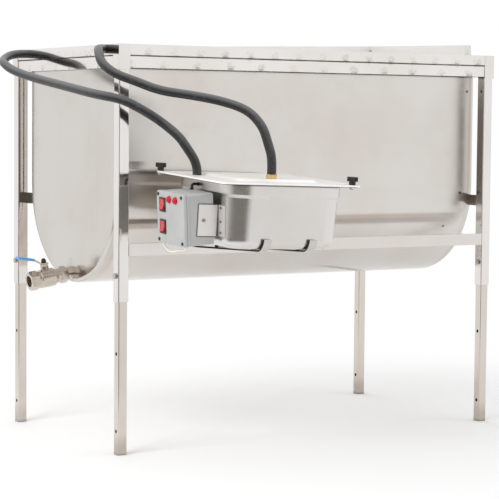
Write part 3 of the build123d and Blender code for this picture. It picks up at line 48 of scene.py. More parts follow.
# Hoses: the routes of the CAD model in metres
HOSE_RADIUS = 0.0115
SUPPLY_ROUTE = [
    (-0.3236, -0.6083, 0.7262), (-0.3225, -0.6104, 0.7641), (-0.331, -0.601, 0.805),
    (-0.340, -0.591, 0.845), (-0.365, -0.562, 0.885), (-0.413, -0.514, 0.907),
    (-0.474, -0.464, 0.921), (-0.542, -0.427, 0.931), (-0.592, -0.390, 0.955),
    (-0.634, -0.362, 0.972), (-0.658, -0.332, 1.000), (-0.650, -0.304, 1.030),
    (-0.6314, -0.2656, 1.0385), (-0.6015, -0.2405, 1.0385),
]
RETURN_ROUTE = [
    (-0.4466, -0.4515, 0.7211), (-0.4459, -0.4529, 0.7480), (-0.474, -0.441, 0.794),
    (-0.488, -0.429, 0.819), (-0.524, -0.399, 0.856), (-0.571, -0.390, 0.884),
    (-0.620, -0.371, 0.910), (-0.660, -0.308, 0.921), (-0.674, -0.156, 0.944),
    (-0.691, -0.002, 0.967), (-0.709, 0.096, 0.989), (-0.712, 0.141, 1.009),
    (-0.695, 0.188, 1.017), (-0.6445, 0.231, 1.0385), (-0.6015, 0.231, 1.0385),
]

# Cable loop under the control box: the route of the CAD model in metres
CABLE_RADIUS = 0.0025
CABLE_ROUTE = [
    (-0.5354, -0.4450, 0.5738), (-0.5350, -0.4336, 0.5744), (-0.5334, -0.4343, 0.5503),
    (-0.5332, -0.4556, 0.5352), (-0.5339, -0.4814, 0.5309), (-0.5358, -0.5178, 0.5379),
    (-0.5375, -0.5579, 0.5398), (-0.5381, -0.5584, 0.5492),
]

# Spline order of the routes, and how finely hoses and cable are cut into faces
ROUTE_ORDER = 3
ROUTE_STEPS = 16
ROUND_STEPS = 7

# Frame of the hot-water pan in the CAD model: middle of the lid and inverse turn
PAN_PLACE = (-0.309, -0.520, 0.7135)
PAN_UNTURN = (radians(-3.1), radians(-1.6), radians(2.0))


# Shader helpers

MIX_FACTOR, MIX_FIRST, MIX_SECOND, MIX_RESULT = 0, 6, 7, 2
RELIEF_DEPTH = 0.0003
EDGE_RADIUS = 0.0008
NOISE_RANGE = (0.3, 0.7)


def node(tree, kind, inputs=None, **settings):
    """One shader node; an input is a constant or another node's output."""
    made = tree.nodes.new(kind)
    for key, value in settings.items():
        setattr(made, key, value)
    for key, value in (inputs or {}).items():
        if isinstance(value, bpy.types.NodeSocket):
            tree.links.new(value, made.inputs[key])
        else:
            made.inputs[key].default_value = value
    return made


def new_material(name, **constants):
    """Material with a principled shader and the given constant sockets."""
    material = bpy.data.materials.new(name)
    material.use_nodes = True
    tree = material.node_tree
    shader = tree.nodes["Principled BSDF"]
    for key, value in constants.items():
        shader.inputs[key.replace("_", " ")].default_value = value
    return material, tree, shader


def place(tree, scale=(1, 1, 1)):
    """Position on the object in metres, stretched per axis."""
    coords = node(tree, "ShaderNodeTexCoord").outputs["Object"]
    return node(tree, "ShaderNodeMapping", {"Vector": coords, "Scale": scale}).outputs["Vector"]


def axes(tree):
    """X, Y and Z of the position on the object."""
    return node(tree, "ShaderNodeSeparateXYZ", {"Vector": place(tree)}).outputs


def noise(tree, where, scale, detail=3.0, roughness=0.5):
    """Noise between 0 and 1, with its scale in waves per metre."""
    made = node(tree, "ShaderNodeTexNoise", {
        "Vector": where, "Scale": scale, "Detail": detail, "Roughness": roughness})
    return made.outputs["Fac"]


def ramp(tree, value, low, high, out_low=0.0, out_high=1.0):
    """Smooth step from out_low, where the value is low, to out_high, where it is high."""
    made = node(tree, "ShaderNodeMapRange", {
        "Value": value, "From Min": low, "From Max": high, "To Min": out_low, "To Max": out_high},
        interpolation_type="SMOOTHSTEP")
    return made.outputs["Result"]


def patches(tree, scale, out_low, out_high):
    """Noise on the object, spread between two values."""
    return ramp(tree, noise(tree, place(tree), scale), *NOISE_RANGE, out_low, out_high)


def calc(tree, operation, first, second=0.0):
    """Arithmetic on one or two numbers."""
    return node(tree, "ShaderNodeMath", {0: first, 1: second}, operation=operation).outputs[0]


def vector(tree, operation, first, second=(0, 0, 0)):
    """Arithmetic on vectors; a number comes out where the operation gives one."""
    made = node(tree, "ShaderNodeVectorMath", {0: first, 1: second}, operation=operation)
    scalar = operation in ("LENGTH", "DISTANCE", "DOT_PRODUCT")
    return made.outputs["Value" if scalar else "Vector"]


def facing(tree, direction):
    """How far a face looks along a direction, from -1 to 1."""
    normal = node(tree, "ShaderNodeNewGeometry").outputs["Normal"]
    return vector(tree, "DOT_PRODUCT", normal, direction)


def mix_colour(tree, factor, first, second, blend="MIX"):
    """Blend of two colours."""
    made = node(tree, "ShaderNodeMix", {MIX_FACTOR: factor, MIX_FIRST: first, MIX_SECOND: second},
                data_type="RGBA", blend_type=blend)
    return made.outputs[MIX_RESULT]


def tinted(tree, base, shade, cover):
    """Base colour with a shade laid over it."""
    return mix_colour(tree, cover, base, (*shade, 1.0))


def relief(tree, shader, height, strength):
    """Fine relief over softened edges."""
    rounded = node(tree, "ShaderNodeBevel", {"Radius": EDGE_RADIUS}, samples=4).outputs["Normal"]
    made = node(tree, "ShaderNodeBump", {
        "Height": height, "Strength": strength, "Distance": RELIEF_DEPTH, "Normal": rounded})
    tree.links.new(made.outputs["Normal"], shader.inputs["Normal"])


def pan_place(tree):
    """Position in the hot-water pan's frame, in metres."""
    away = vector(tree, "SUBTRACT", place(tree), PAN_PLACE)
    return node(tree, "ShaderNodeMapping", {"Vector": away, "Rotation": PAN_UNTURN}).outputs["Vector"]


# Marks: each takes a base colour and gives a new one

# Their noise in waves per metre, and the ranges over which they fade
SPOT_EDGE_WAVES = 90.0
SPOT_RAGGED = (-0.5, 0.5)
SPOT_WAVES = 11.0
SPOT_RANGE = (0.35, 0.65)
SPOT_LEAST = 0.35
BAND_WAVES = 25.0
BAND_UNEVEN = (0.6, 1.0)
ROUND_MARK_WAVES = 60.0
ROUND_MARK_RAGGED = (-0.35, 0.35)
SIDE_RANGE = (0.6, 0.85)
UPWARD_RANGE = (-0.1, 0.9)
OPEN_RANGE = (0.70, 0.30)
EDGE_RANGE = (0.985, 0.90)
SOFTNESS = 3
PEG_RIM_INNER = 0.8


def from_nearest(tree, value, start, pitch):
    """Distance to the nearest place of a row, as a share of its pitch."""
    turns = calc(tree, "MULTIPLY", calc(tree, "SUBTRACT", value, start), 1 / pitch)
    cell = calc(tree, "FRACT", calc(tree, "ADD", turns, 0.5))
    return calc(tree, "SUBTRACT", cell, 0.5)


def weld_spots(axis, start, pitch, height, size, shade, strength):
    """Row of spot-weld smudges along one axis at one height."""
    def add(tree, base):
        where = axes(tree)
        along = calc(tree, "MULTIPLY", from_nearest(tree, where[axis], start, pitch), pitch / size[0])
        up = calc(tree, "MULTIPLY", calc(tree, "SUBTRACT", where["Z"], height), 1 / size[1])
        far = calc(tree, "ADD", calc(tree, "MULTIPLY", along, along), calc(tree, "MULTIPLY", up, up))
        far = calc(tree, "ADD", far, patches(tree, SPOT_EDGE_WAVES, *SPOT_RAGGED))
        vary = noise(tree, place(tree), SPOT_WAVES, detail=1.0)
        vary = calc(tree, "MULTIPLY", ramp(tree, vary, *SPOT_RANGE, out_low=SPOT_LEAST), strength)
        cover = calc(tree, "MULTIPLY", ramp(tree, far, 1.0, 0.0), vary)
        return tinted(tree, base, shade, cover)
    return add


def band(axis, middle, half, shade, strength):
    """Tinted strip across one axis, such as heat tint beside a weld, dirt at the feet or painted shade
    in a joint.
    """
    def add(tree, base):
        away = calc(tree, "ABSOLUTE", calc(tree, "SUBTRACT", axes(tree)[axis], middle))
        wavy = calc(tree, "MULTIPLY", patches(tree, BAND_WAVES, *BAND_UNEVEN), strength)
        cover = calc(tree, "MULTIPLY", ramp(tree, away, half, half / SOFTNESS), wavy)
        return tinted(tree, base, shade, cover)
    return add


def peg_hole_shade(start, pitch, across, radius, shade, strength):
    """Painted shade over the peg holes, in a row up each leg."""
    def add(tree, base):
        where = axes(tree)
        up = calc(tree, "MULTIPLY", from_nearest(tree, where["Z"], start, pitch), pitch)
        side = calc(tree, "SUBTRACT", calc(tree, "ABSOLUTE", where["Y"]), across)
        spread = node(tree, "ShaderNodeCombineXYZ", {"Y": side, "Z": up}).outputs["Vector"]
        far = vector(tree, "LENGTH", spread)
        cover = ramp(tree, far, radius, radius * PEG_RIM_INNER, out_high=strength)
        return tinted(tree, base, shade, cover)
    return add


def round_mark(centre, inner, outer, shade, strength):
    """Round mark about a point, ragged at its edge: a stain or dot, or a spot of painted shade."""
    def add(tree, base):
        away = vector(tree, "DISTANCE", place(tree), centre)
        ragged = calc(tree, "MULTIPLY", patches(tree, ROUND_MARK_WAVES, *ROUND_MARK_RAGGED), outer - inner)
        away = calc(tree, "ADD", away, ragged)
        cover = calc(tree, "MULTIPLY", ramp(tree, away, outer, inner), strength)
        return tinted(tree, base, shade, cover)
    return add


def side_shade(direction, shade, strength):
    """Painted shade or light on the faces that look along one direction or against it."""
    def add(tree, base):
        along = calc(tree, "ABSOLUTE", facing(tree, direction))
        return tinted(tree, base, shade, ramp(tree, along, *SIDE_RANGE, out_high=strength))
    return add


def top_dust_and_sheen(shade, strength):
    """Dust and painted sheen on the faces that look up."""
    def add(tree, base):
        upward = facing(tree, (0, 0, 1))
        return tinted(tree, base, shade, ramp(tree, upward, *UPWARD_RANGE, out_high=strength))
    return add


def rim_shade(middle, half, reach, shade, strength):
    """Painted shade in the corner round a plate, given by its middle and half size in the pan's frame.
    """
    def add(tree, base):
        away = vector(tree, "ABSOLUTE", vector(tree, "SUBTRACT", pan_place(tree), middle))
        outside = vector(tree, "MAXIMUM", vector(tree, "SUBTRACT", away, half))
        far = vector(tree, "LENGTH", outside)
        return tinted(tree, base, shade, ramp(tree, far, reach, reach / SOFTNESS, out_high=strength))
    return add


def lip_shade(low, high, shade, strength):
    """Shadow line below the lid, between two heights in the pan's frame."""
    def add(tree, base):
        height = node(tree, "ShaderNodeSeparateXYZ", {"Vector": pan_place(tree)}).outputs["Z"]
        return tinted(tree, base, shade, ramp(tree, height, low, high, out_high=strength))
    return add


def crevice_shade(reach, shade, strength):
    """Painted shade in narrow joints, inside tubes and along edges that stand on another piece."""
    def add(tree, base):
        openness = node(tree, "ShaderNodeAmbientOcclusion", {"Distance": reach}, samples=8).outputs["AO"]
        return tinted(tree, base, shade, ramp(tree, openness, *OPEN_RANGE, out_high=strength))
    return add


def edge_highlight(radius, shade, strength):
    """Painted highlight on rounded edges, where the softened normal leaves the face's own."""
    def add(tree, base):
        soft = node(tree, "ShaderNodeBevel", {"Radius": radius}, samples=8).outputs["Normal"]
        agree = facing(tree, soft)
        return tinted(tree, base, shade, ramp(tree, agree, *EDGE_RANGE, out_high=strength))
    return add


# Materials

# Their noise in waves per metre, the ranges over which it fades, and what it changes
CLOUD_WAVES = 4.0
CLOUD_RANGE = (0.35, 0.70)
CLOUD_TINT = (0.95, 0.93, 0.90)
SMEAR_WAVES = 17.0
SMEAR_RANGE = (0.45, 0.75)
SMEAR_HAZE = 0.05
GRAIN_RANGE = (0.25, 0.75)
MOTTLE_WAVES = 18.0
MOTTLE_TIMES = 1.10
MOTTLE_PLUS = 0.003
DUST_WAVES = 130.0
DUST_RANGE = (0.52, 0.72)
DUST_SHADE = (0.42, 0.40, 0.38)
PEBBLE_SMOOTHER = 0.05
PEBBLE_ROUGHER = 0.06


def steel(name, colour, roughness, stretch, grain=0.05, depth=0.03, metallic=1.0, marks=(), **constants):
    """Stainless sheet: grain along one way, soft clouds, hazy smears, fine scratches and marks."""
    material, tree, shader = new_material(name, Metallic=metallic, **constants)
    cloud = noise(tree, place(tree), CLOUD_WAVES, detail=4.0)
    smear = noise(tree, place(tree), SMEAR_WAVES, detail=5.0, roughness=0.6)
    brushed = noise(tree, place(tree, stretch), 1.0, detail=5.0, roughness=0.65)
    darker = tuple(c * t for c, t in zip(colour, CLOUD_TINT))
    base = mix_colour(tree, ramp(tree, cloud, *CLOUD_RANGE), (*colour, 1.0), (*darker, 1.0))
    streak = ramp(tree, brushed, *GRAIN_RANGE, out_low=1.0 - grain)
    streaks = node(tree, "ShaderNodeCombineColor", {"Red": streak, "Green": streak, "Blue": streak})
    base = mix_colour(tree, 1.0, base, streaks.outputs["Color"], "MULTIPLY")
    for mark in marks:
        base = mark(tree, base)
    tree.links.new(base, shader.inputs["Base Color"])
    uneven = calc(tree, "ADD", ramp(tree, brushed, *GRAIN_RANGE, out_high=grain), roughness)
    haze = ramp(tree, smear, *SMEAR_RANGE, out_high=SMEAR_HAZE)
    tree.links.new(calc(tree, "ADD", uneven, haze), shader.inputs["Roughness"])
    relief(tree, shader, brushed, depth)
    return material


def rolled_round(material):
    """Turns the sheet's grain round the X axis, so that it smears mirror images sideways."""
    tree = material.node_tree
    round_axis = node(tree, "ShaderNodeTangent", direction_type="RADIAL", axis="X")
    tree.links.new(round_axis.outputs["Tangent"], tree.nodes["Principled BSDF"].inputs["Tangent"])


def plastic(name, colour, roughness, grain_scale, depth=0.15, dust=0.0, marks=()):
    """Moulded plastic or rubber with a fine pebble, slight colour change and some dust."""
    material, tree, shader = new_material(name)
    paler = tuple(min(1.0, c * MOTTLE_TIMES + MOTTLE_PLUS) for c in colour)
    base = mix_colour(tree, patches(tree, MOTTLE_WAVES, 0.0, 1.0), (*colour, 1.0), (*paler, 1.0))
    if dust:
        specks = noise(tree, place(tree), DUST_WAVES, detail=4.0, roughness=0.7)
        base = tinted(tree, base, DUST_SHADE, ramp(tree, specks, *DUST_RANGE, out_high=dust))
    for mark in marks:
        base = mark(tree, base)
    tree.links.new(base, shader.inputs["Base Color"])
    pebble = noise(tree, place(tree), grain_scale, detail=2.0)
    uneven = ramp(tree, pebble, *NOISE_RANGE, roughness - PEBBLE_SMOOTHER, roughness + PEBBLE_ROUGHER)
    tree.links.new(uneven, shader.inputs["Roughness"])
    relief(tree, shader, pebble, depth)
    return material


# Ways of the grain: waves per metre on each axis
ALONG_X = (3.0, 700.0, 700.0)
ALONG_Y = (700.0, 3.0, 700.0)
ALONG_Z = (700.0, 700.0, 3.0)
ALL_WAYS = (260.0, 260.0, 260.0)

# Grain of the sheets: its share in the shade and the depth of its relief
FINE = {"grain": 0.03, "depth": 0.01}
FAINT = {"grain": 0.02, "depth": 0.01}
SHEET = {"grain": 0.03, "depth": 0.012}

# Shades of the marks
# Brown of the weld spots, and of the painted shade in the drip tray's corner.
WELD_AND_SHADE_BROWN = (0.34, 0.27, 0.22)
HEAT_TAN = (0.62, 0.50, 0.43)
DRAIN_TAN = (0.44, 0.39, 0.34)
FOOT_BROWN = (0.36, 0.30, 0.25)
# Dark brown of the dirt and dots, and of the painted shade in joints, gaps and corners.
DIRT_AND_SHADE = (0.10, 0.085, 0.075)
SMUDGE_GREY = (0.50, 0.47, 0.44)
# Grey of the painted light on the box's top and the painted highlight on its edges.
HIGHLIGHT_GREY = (0.56, 0.56, 0.555)
HOSE_GREY = (0.17, 0.17, 0.175)
# Black of the painted shade inside the leg tubes and over the peg holes.
HOLE_SHADE_BLACK = (0.012, 0.011, 0.010)

# Rows of spot welds: axis, one weld's place and the pitch, in metres
RIM_ROW = ("X", -0.137, 0.0757)
RAIL_ROW = ("X", -0.176, 0.0985)
END_ROW = ("Y", 0.047, 0.084)
SPOT_SIZE = (0.012, 0.0045)
SMUDGE_SIZE = (0.017, 0.015)
RIM_SPOTS = weld_spots(*RIM_ROW, 1.0235, SPOT_SIZE, WELD_AND_SHADE_BROWN, 0.55)
RAIL_SPOTS = weld_spots(*RAIL_ROW, 0.9925, SPOT_SIZE, WELD_AND_SHADE_BROWN, 0.55)
END_SPOTS = weld_spots(*END_ROW, 0.9925, (0.010, 0.0045), WELD_AND_SHADE_BROWN, 0.5)
RIM_SMUDGES = weld_spots(*RIM_ROW, 1.0275, SMUDGE_SIZE, SMUDGE_GREY, 0.42)
RAIL_SMUDGES = weld_spots(*RAIL_ROW, 0.9965, SMUDGE_SIZE, SMUDGE_GREY, 0.42)
END_SMUDGES = weld_spots(*END_ROW, 0.9965, (0.015, 0.013), SMUDGE_GREY, 0.50)

# Other marks on the frame and the trough, in metres
JOINT_HEIGHT = 1.0208
DOT_PLACES = (
    (0.556, -0.260, 0.948), (0.537, -0.260, 0.657), (0.558, -0.260, 0.626), (0.4995, -0.231, 0.561))
# Painted shade in the gap between the rim strip and the rails.
JOINT_SHADE = band("Z", JOINT_HEIGHT, 0.0030, DIRT_AND_SHADE, 0.95)
TROUGH_HEAT = (
    band("X", 0.580, 0.012, HEAT_TAN, 0.4),
    band("X", -0.560, 0.026, HEAT_TAN, 0.6),
)
TROUGH_DOTS = tuple(round_mark(where, 0.0025, 0.0045, DIRT_AND_SHADE, 1.0) for where in DOT_PLACES)
POST_DOT = round_mark((0.570, -0.3087, 0.948), 0.0030, 0.0055, DIRT_AND_SHADE, 1.0)
DRAIN_STAIN = round_mark((-0.576, 0.0, 0.446), 0.020, 0.042, DRAIN_TAN, 0.35)
# Painted shade in the drip tray's back corner.
TRAY_CORNER_SHADE = round_mark((0.579, 0.2553, 1.0700), 0.004, 0.016, WELD_AND_SHADE_BROWN, 0.8)
FOOT_DIRT = band("Z", 0.0, 0.060, FOOT_BROWN, 0.55)
# Painted shade inside the leg tubes and at their ends.
TUBE_INSIDE_SHADE = crevice_shade(0.018, HOLE_SHADE_BLACK, 1.0)
# Painted shade over the peg holes on the legs' sides.
PEG_HOLE_SHADE = peg_hole_shade(0.060, 0.200, 0.306, 0.0052, HOLE_SHADE_BLACK, 1.0)

# Marks on the hot-water pan, the control box and the hoses, in metres
LID_SHADOW = lip_shade(-0.0105, -0.0065, DIRT_AND_SHADE, 0.9)
# Painted shade on the pan wall in the gap behind the control box.
BOX_GAP_SHADE = rim_shade((-0.208, -0.015, -0.104), (0.041, 0.073, 0.060), 0.012, DIRT_AND_SHADE, 0.85)
# Painted shadow on the box round the bracket plate.
BRACKET_SHADE = rim_shade((-0.182, -0.0875, -0.100), (0.0285, 0.001, 0.0385), 0.0042, DIRT_AND_SHADE, 0.9)
# Painted shade in the inner corner at the bracket's bend.
BRACKET_BEND_SHADE = rim_shade((-0.1560, -0.0878, -0.100), (0.0012, 0.0003, 0.045), 0.0027, DIRT_AND_SHADE, 0.9)
# Painted shade on the straps' side faces.
STRAP_SIDE_SHADE = side_shade((1, 0, 0), DIRT_AND_SHADE, 0.95)
# Painted light on the box's top face.
BOX_TOP_LIGHT = side_shade((0, 0, 1), HIGHLIGHT_GREY, 0.8)
# Painted highlight along the box's rounded edges.
BOX_EDGE_HIGHLIGHT = edge_highlight(0.0025, HIGHLIGHT_GREY, 0.9)
# Painted shade in the box's grooves and joints.
BOX_JOINT_SHADE = crevice_shade(0.004, DIRT_AND_SHADE, 0.8)
# Dust and painted sheen on the hoses' upper sides.
HOSE_DUST_AND_SHEEN = top_dust_and_sheen(HOSE_GREY, 0.75)

strip_steel = steel("strip_steel", (0.82, 0.80, 0.78), 0.05, ALONG_X, **FINE, marks=(
    RIM_SMUDGES, RAIL_SMUDGES, RIM_SPOTS, RAIL_SPOTS, JOINT_SHADE))
end_strip_steel = steel("end_strip_steel", (0.80, 0.78, 0.76), 0.05, ALONG_Y, **FINE, marks=(
    END_SMUDGES, END_SPOTS, JOINT_SHADE))
carrier_steel = steel("carrier_steel", (0.74, 0.70, 0.68), 0.07, ALONG_X, **FINE)
post_steel = steel("post_steel", (0.80, 0.77, 0.75), 0.05, ALONG_Z, **FINE, marks=(POST_DOT,))
leg_steel = steel("leg_steel", (0.70, 0.65, 0.60), 0.10, ALONG_Z, grain=0.05, depth=0.02, marks=(
    FOOT_DIRT, TUBE_INSIDE_SHADE, PEG_HOLE_SHADE))
stay_steel = steel("stay_steel", (0.35, 0.30, 0.27), 0.20, ALONG_Y)
trough_sheet = steel(
    "trough_sheet", (0.72, 0.69, 0.66), 0.17, ALONG_X, **SHEET, marks=TROUGH_HEAT + TROUGH_DOTS,
    Anisotropic=0.95, Anisotropic_Rotation=0.25)
rolled_round(trough_sheet)
end_sheet = steel("end_sheet", (0.66, 0.63, 0.60), 0.16, ALONG_Z, **SHEET, marks=(DRAIN_STAIN,))
tray_steel = steel("tray_steel", (0.86, 0.85, 0.84), 0.35, ALONG_X, **FINE, metallic=0.5, marks=(
    TRAY_CORNER_SHADE,))
pan_sheet = steel("pan_sheet", (0.735, 0.715, 0.695), 0.27, ALONG_X, **FAINT, marks=(
    LID_SHADOW, BOX_GAP_SHADE))
# The lid's near-white, mostly diffuse finish is painted sheen for the overhead light on brushed steel.
lid_sheet = steel("lid_sheet", (0.97, 0.965, 0.955), 0.45, ALONG_X, **FAINT, metallic=0.25)
strap_steel = steel("strap_steel", (0.64, 0.62, 0.60), 0.20, ALONG_Y, marks=(STRAP_SIDE_SHADE,))
bracket_steel = steel("bracket_steel", (0.80, 0.77, 0.75), 0.40, ALONG_X, **FINE, metallic=0.7,
                      marks=(BRACKET_BEND_SHADE,))
bright_steel = steel("bright_steel", (0.72, 0.71, 0.69), 0.18, ALL_WAYS)
dark_screw = steel("dark_screw", (0.34, 0.31, 0.29), 0.28, ALL_WAYS)
lock_steel = steel("lock_steel", (0.55, 0.52, 0.49), 0.28, ALL_WAYS)
black_screw = steel("black_screw", (0.05, 0.05, 0.05), 0.35, ALL_WAYS)
nickel = steel("nickel", (0.64, 0.57, 0.50), 0.18, ALL_WAYS, grain=0.06)
brass = steel("brass", (0.72, 0.52, 0.24), 0.25, ALL_WAYS, grain=0.06)
hose_rubber = plastic("hose_rubber", (0.016, 0.016, 0.017), 0.38, 900.0, dust=0.08, marks=(HOSE_DUST_AND_SHEEN,))
knob_plastic = plastic("knob_plastic", (0.018, 0.018, 0.018), 0.38, 1200.0)
lead_plastic = plastic("lead_plastic", (0.02, 0.02, 0.02), 0.45, 1200.0)
cable_sheath = plastic("cable_sheath", (0.76, 0.72, 0.64), 0.40, 900.0)
pump_plastic = plastic("pump_plastic", (0.05, 0.05, 0.06), 0.45, 900.0)
seat_plastic = plastic("seat_plastic", (0.85, 0.85, 0.82), 0.35, 900.0)
gasket_rubber = plastic("gasket_rubber", (0.70, 0.70, 0.67), 0.55, 900.0)
grip_plastic = plastic("grip_plastic", (0.085, 0.30, 0.66), 0.34, 700.0)
box_plastic = plastic("box_plastic", (0.385, 0.390, 0.385), 0.42, 1500.0, marks=(
    BOX_TOP_LIGHT, BOX_EDGE_HIGHLIGHT, BOX_JOINT_SHADE, BRACKET_SHADE))
switch_plastic = plastic("switch_plastic", (0.015, 0.015, 0.015), 0.35, 1200.0)
rocker_plastic = plastic("rocker_plastic", (0.50, 0.016, 0.018), 0.16, 400.0, depth=0.03)
lamp_plastic = plastic("lamp_plastic", (0.47, 0.006, 0.020), 0.10, 400.0, depth=0.03)

LOOKS = (
    (strip_steel, ("long_rails", "trough_rim")),
    (end_strip_steel, ("end_rails",)),
    (carrier_steel, ("tank_rail",)),
    (post_steel, (
        "post_front_left", "post_front_right", "post_back_left", "post_back_right", "corner_caps")),
    (leg_steel, ("leg_front_left", "leg_front_right", "leg_back_left", "leg_back_right")),
    (stay_steel, ("trough_stays",)),
    (trough_sheet, ("trough_shell",)),
    (end_sheet, ("trough_end_left", "trough_end_right")),
    (tray_steel, ("drip_tray",)),
    (pan_sheet, ("tank_pan",)),
    (lid_sheet, ("tank_lid",)),
    (bright_steel, (
        "clamp_nuts", "knife_pipes", "water_heater", "knife_left", "knife_right", "manifolds",
        "strainer", "riser_pipe")),
    (strap_steel, ("tank_straps",)),
    (bracket_steel, ("box_bracket",)),
    (dark_screw, ("bracket_fasteners",)),
    (lock_steel, ("lock_screws",)),
    (black_screw, ("cover_screws",)),
    (nickel, (
        "drain_socket", "valve_body", "valve_end_piece", "valve_ball", "valve_stem", "stem_gland_nut",
        "valve_lever")),
    (brass, ("hose_tails",)),
    (seat_plastic, ("valve_seats",)),
    (grip_plastic, ("lever_grip",)),
    (gasket_rubber, ("lid_gasket",)),
    (knob_plastic, ("clamp_knob_left", "clamp_knob_right", "lever_nut")),
    (hose_rubber, ("hose_supply", "hose_return")),
    (lead_plastic, ("pump_lead", "cable_glands")),
    (cable_sheath, ("box_cable",)),
    (pump_plastic, ("pump_body", "pump_impeller")),
    (box_plastic, ("box_base", "box_cover")),
    (switch_plastic, ("switch_frames",)),
    (rocker_plastic, ("rocker_upper", "rocker_lower")),
    (lamp_plastic, ("signal_lamps",)),
)


def dress_nodes():
    """Gives every CAD piece its material."""
    for material, names in LOOKS:
        for name in names:
            for slot in nodes[name].material_slots:
                slot.material = material


# Hoses and cable

def cord(name, cad_node, material, route, radius):
    """Round hose or cable on the route's NURBS spline."""
    curve = bpy.data.curves.new(name, "CURVE")
    curve.dimensions = "3D"
    spline = curve.splines.new("NURBS")
    spline.points.add(len(route) - 1)
    for point, where in zip(spline.points, route):
        point.co = (*where, 1.0)
    spline.order_u = ROUTE_ORDER
    spline.use_endpoint_u = True
    curve.bevel_depth = radius
    curve.bevel_resolution = ROUND_STEPS
    curve.resolution_u = ROUTE_STEPS
    curve.materials.append(material)
    piece = bpy.data.objects.new(name, curve)
    bpy.context.collection.objects.link(piece)
    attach(piece, "machine")
    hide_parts(cad_node)


# Stage, in metres, degrees and watts

WHITE = (1, 1, 1, 1)
WORLD_LIGHT = 0.80
FLOOR_HALF = 30.0
FLOOR_DROP = 0.0006
FLOOR_FADE = (0.9, 2.0)
FLOOR_WHITE = (0.97, 0.97, 0.97, 1.0)
FLOOR_ROUGHNESS = 0.9
CARD_DISTANCE = 5.8
CARD_HALF = 4.2
CARD_TALL = 1.15
CARD_SHADE = (0.20, 0.18, 0.165, 1.0)
SHADE_CENTRE = (-0.40, -0.60, 0.001)
SHADE_HALF = 7.0
SHADE_LEFT = (-85.0, -50.0)
SHADE_RIGHT = (62.0, 28.0)
SHADE_NEAR = (0.5, 1.0)
LAMP_SIZE = 2.4
LAMP_AIM = (0, 0, 0.8)
LAMPS = (
    ("key_light", (-3.8, -1.4, 2.8), 90.0),
    ("fill_light", (2.8, -2.6, 2.6), 15.0),
    ("back_light", (0.6, 3.2, 3.0), 25.0),
)


def sheet_object(name, corners, material):
    """Flat sheet with four corners."""
    mesh = bpy.data.meshes.new(name)
    mesh.from_pydata(corners, [], [(0, 1, 2, 3)])
    mesh.materials.append(material)
    made = bpy.data.objects.new(name, mesh)
    bpy.context.collection.objects.link(made)
    return made


def square(half):
    """Corners of a level square about the origin."""
    return [(-half, -half, 0), (half, -half, 0), (half, half, 0), (-half, half, 0)]


def glow(tree, colour):
    """Light of one colour at strength 1."""
    return node(tree, "ShaderNodeEmission", {"Color": colour, "Strength": 1.0}).outputs[0]


def mix_shaders(tree, factor, first, second):
    """Blend of two shaders."""
    return node(tree, "ShaderNodeMixShader", {0: factor, 1: first, 2: second}).outputs[0]


def show(tree, shader):
    """Makes a shader the material's surface."""
    tree.links.new(shader, tree.nodes["Material Output"].inputs["Surface"])


def seen_directly(tree):
    """1 for rays from the camera, off a mirror or through glass, and 0 for the light thrown around."""
    paths = node(tree, "ShaderNodeLightPath").outputs
    seen = calc(tree, "MAXIMUM", paths["Is Camera Ray"], paths["Is Glossy Ray"])
    return calc(tree, "MAXIMUM", seen, paths["Is Transmission Ray"])


def white_floor():
    """Floor that shades near the machine and fades to plain white further out."""
    material, tree, shader = new_material(
        "floor_paper", Base_Color=FLOOR_WHITE, Roughness=FLOOR_ROUGHNESS, Specular_IOR_Level=0.0)
    distance = vector(tree, "LENGTH", place(tree, (1, 1, 0)))
    fade = calc(tree, "MULTIPLY", ramp(tree, distance, *FLOOR_FADE), seen_directly(tree))
    show(tree, mix_shaders(tree, fade, shader.outputs[0], glow(tree, WHITE)))
    floor = sheet_object("floor", square(FLOOR_HALF), material)
    floor.location.z = -FLOOR_DROP


def white_world():
    """White surroundings; the light they throw on the machine is a little lower."""
    world = bpy.data.worlds.new("studio")
    bpy.context.scene.world = world
    world.use_nodes = True
    tree = world.node_tree
    background = tree.nodes["Background"]
    background.inputs["Color"].default_value = WHITE
    level = node(tree, "ShaderNodeMapRange", {
        "Value": seen_directly(tree), "To Min": WORLD_LIGHT, "To Max": 1.0})
    tree.links.new(level.outputs["Result"], background.inputs["Strength"])


def only_in_metal(card):
    """Hides a sheet from everything but mirror images."""
    card.visible_camera = False
    card.visible_diffuse = False
    card.visible_shadow = False


def dark_card():
    """Dark side of the studio behind the camera, seen only in the metal."""
    material, tree, _ = new_material("card_grey")
    show(tree, glow(tree, CARD_SHADE))
    away = Vector((CAMERA_PLACE[0], CAMERA_PLACE[1], 0)).normalized()
    side = Vector((-away.y, away.x, 0)) * CARD_HALF
    middle = away * CARD_DISTANCE
    top = Vector((0, 0, CARD_TALL))
    corners = [middle - side, middle + side, middle + side + top, middle - side + top]
    only_in_metal(sheet_object("dark_card", corners, material))


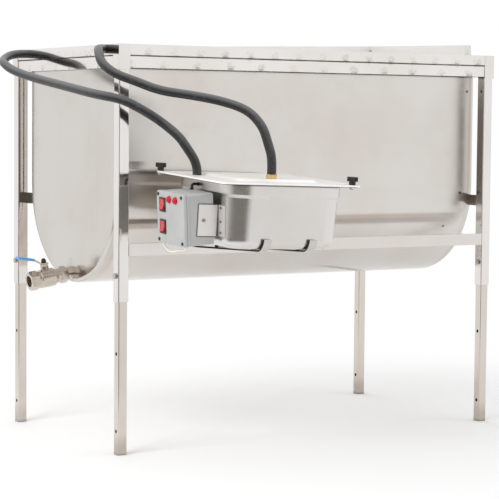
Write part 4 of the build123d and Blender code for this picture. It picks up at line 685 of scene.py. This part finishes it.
def dark_ground():
    """Dark ground between machine and camera, fading out to both sides, seen only in the metal."""
    material, tree, _ = new_material("ground_grey")
    where = axes(tree)
    angle = calc(tree, "ARCTAN2", where["Y"], where["X"])
    left = ramp(tree, angle, *(radians(side) for side in SHADE_LEFT))
    right = ramp(tree, angle, *(radians(side) for side in SHADE_RIGHT))
    near = ramp(tree, vector(tree, "LENGTH", place(tree)), *SHADE_NEAR)
    cover = calc(tree, "MULTIPLY", calc(tree, "MULTIPLY", left, right), near)
    clear = node(tree, "ShaderNodeBsdfTransparent").outputs[0]
    show(tree, mix_shaders(tree, cover, clear, glow(tree, CARD_SHADE)))
    ground = sheet_object("dark_ground", square(SHADE_HALF), material)
    ground.location = SHADE_CENTRE
    ground.rotation_euler.z = atan2(CAMERA_PLACE[1] - SHADE_CENTRE[1], CAMERA_PLACE[0] - SHADE_CENTRE[0])
    only_in_metal(ground)


def softbox(name, where, power):
    """Large soft lamp that the metal doesn't mirror."""
    lamp = bpy.data.lights.new(name, "AREA")
    lamp.shape = "SQUARE"
    lamp.size = LAMP_SIZE
    lamp.energy = power
    light = bpy.data.objects.new(name, lamp)
    light.location = where
    light.rotation_euler = (Vector(LAMP_AIM) - Vector(where)).to_track_quat("-Z", "Y").to_euler()
    light.visible_glossy = False
    bpy.context.collection.objects.link(light)


def photo_camera():
    """Camera at the photograph's viewpoint."""
    forward = Vector((
        sin(CAMERA_TURN) * cos(CAMERA_TILT), cos(CAMERA_TURN) * cos(CAMERA_TILT), sin(CAMERA_TILT)))
    right = forward.cross(Vector((0, 0, 1))).normalized()
    up = right.cross(forward)
    rolled_right = right * cos(CAMERA_ROLL) + up * sin(CAMERA_ROLL)
    rolled_up = up * cos(CAMERA_ROLL) - right * sin(CAMERA_ROLL)
    lens = bpy.data.cameras.new("camera")
    lens.sensor_width = SENSOR
    lens.lens = FOCAL_PIXELS / IMAGE_SIZE * SENSOR
    camera = bpy.data.objects.new("camera", lens)
    turn = Matrix((rolled_right, rolled_up, -forward)).transposed()
    camera.matrix_world = Matrix.Translation(CAMERA_PLACE) @ turn.to_4x4()
    bpy.context.collection.objects.link(camera)
    bpy.context.scene.camera = camera


def stage():
    """Floor, surroundings, lamps and camera."""
    white_floor()
    white_world()
    dark_card()
    dark_ground()
    for name, where, power in LAMPS:
        softbox(name, where, power)
    photo_camera()
    bpy.context.scene.view_settings.view_transform = "Standard"


dress_nodes()
cord("supply_hose", "hose_supply", hose_rubber,
     SUPPLY_ROUTE, HOSE_RADIUS)
cord("return_hose", "hose_return", hose_rubber,
     RETURN_ROUTE, HOSE_RADIUS)
cord("cable_loop", "box_cable", cable_sheath,
     CABLE_ROUTE, CABLE_RADIUS)
stage()
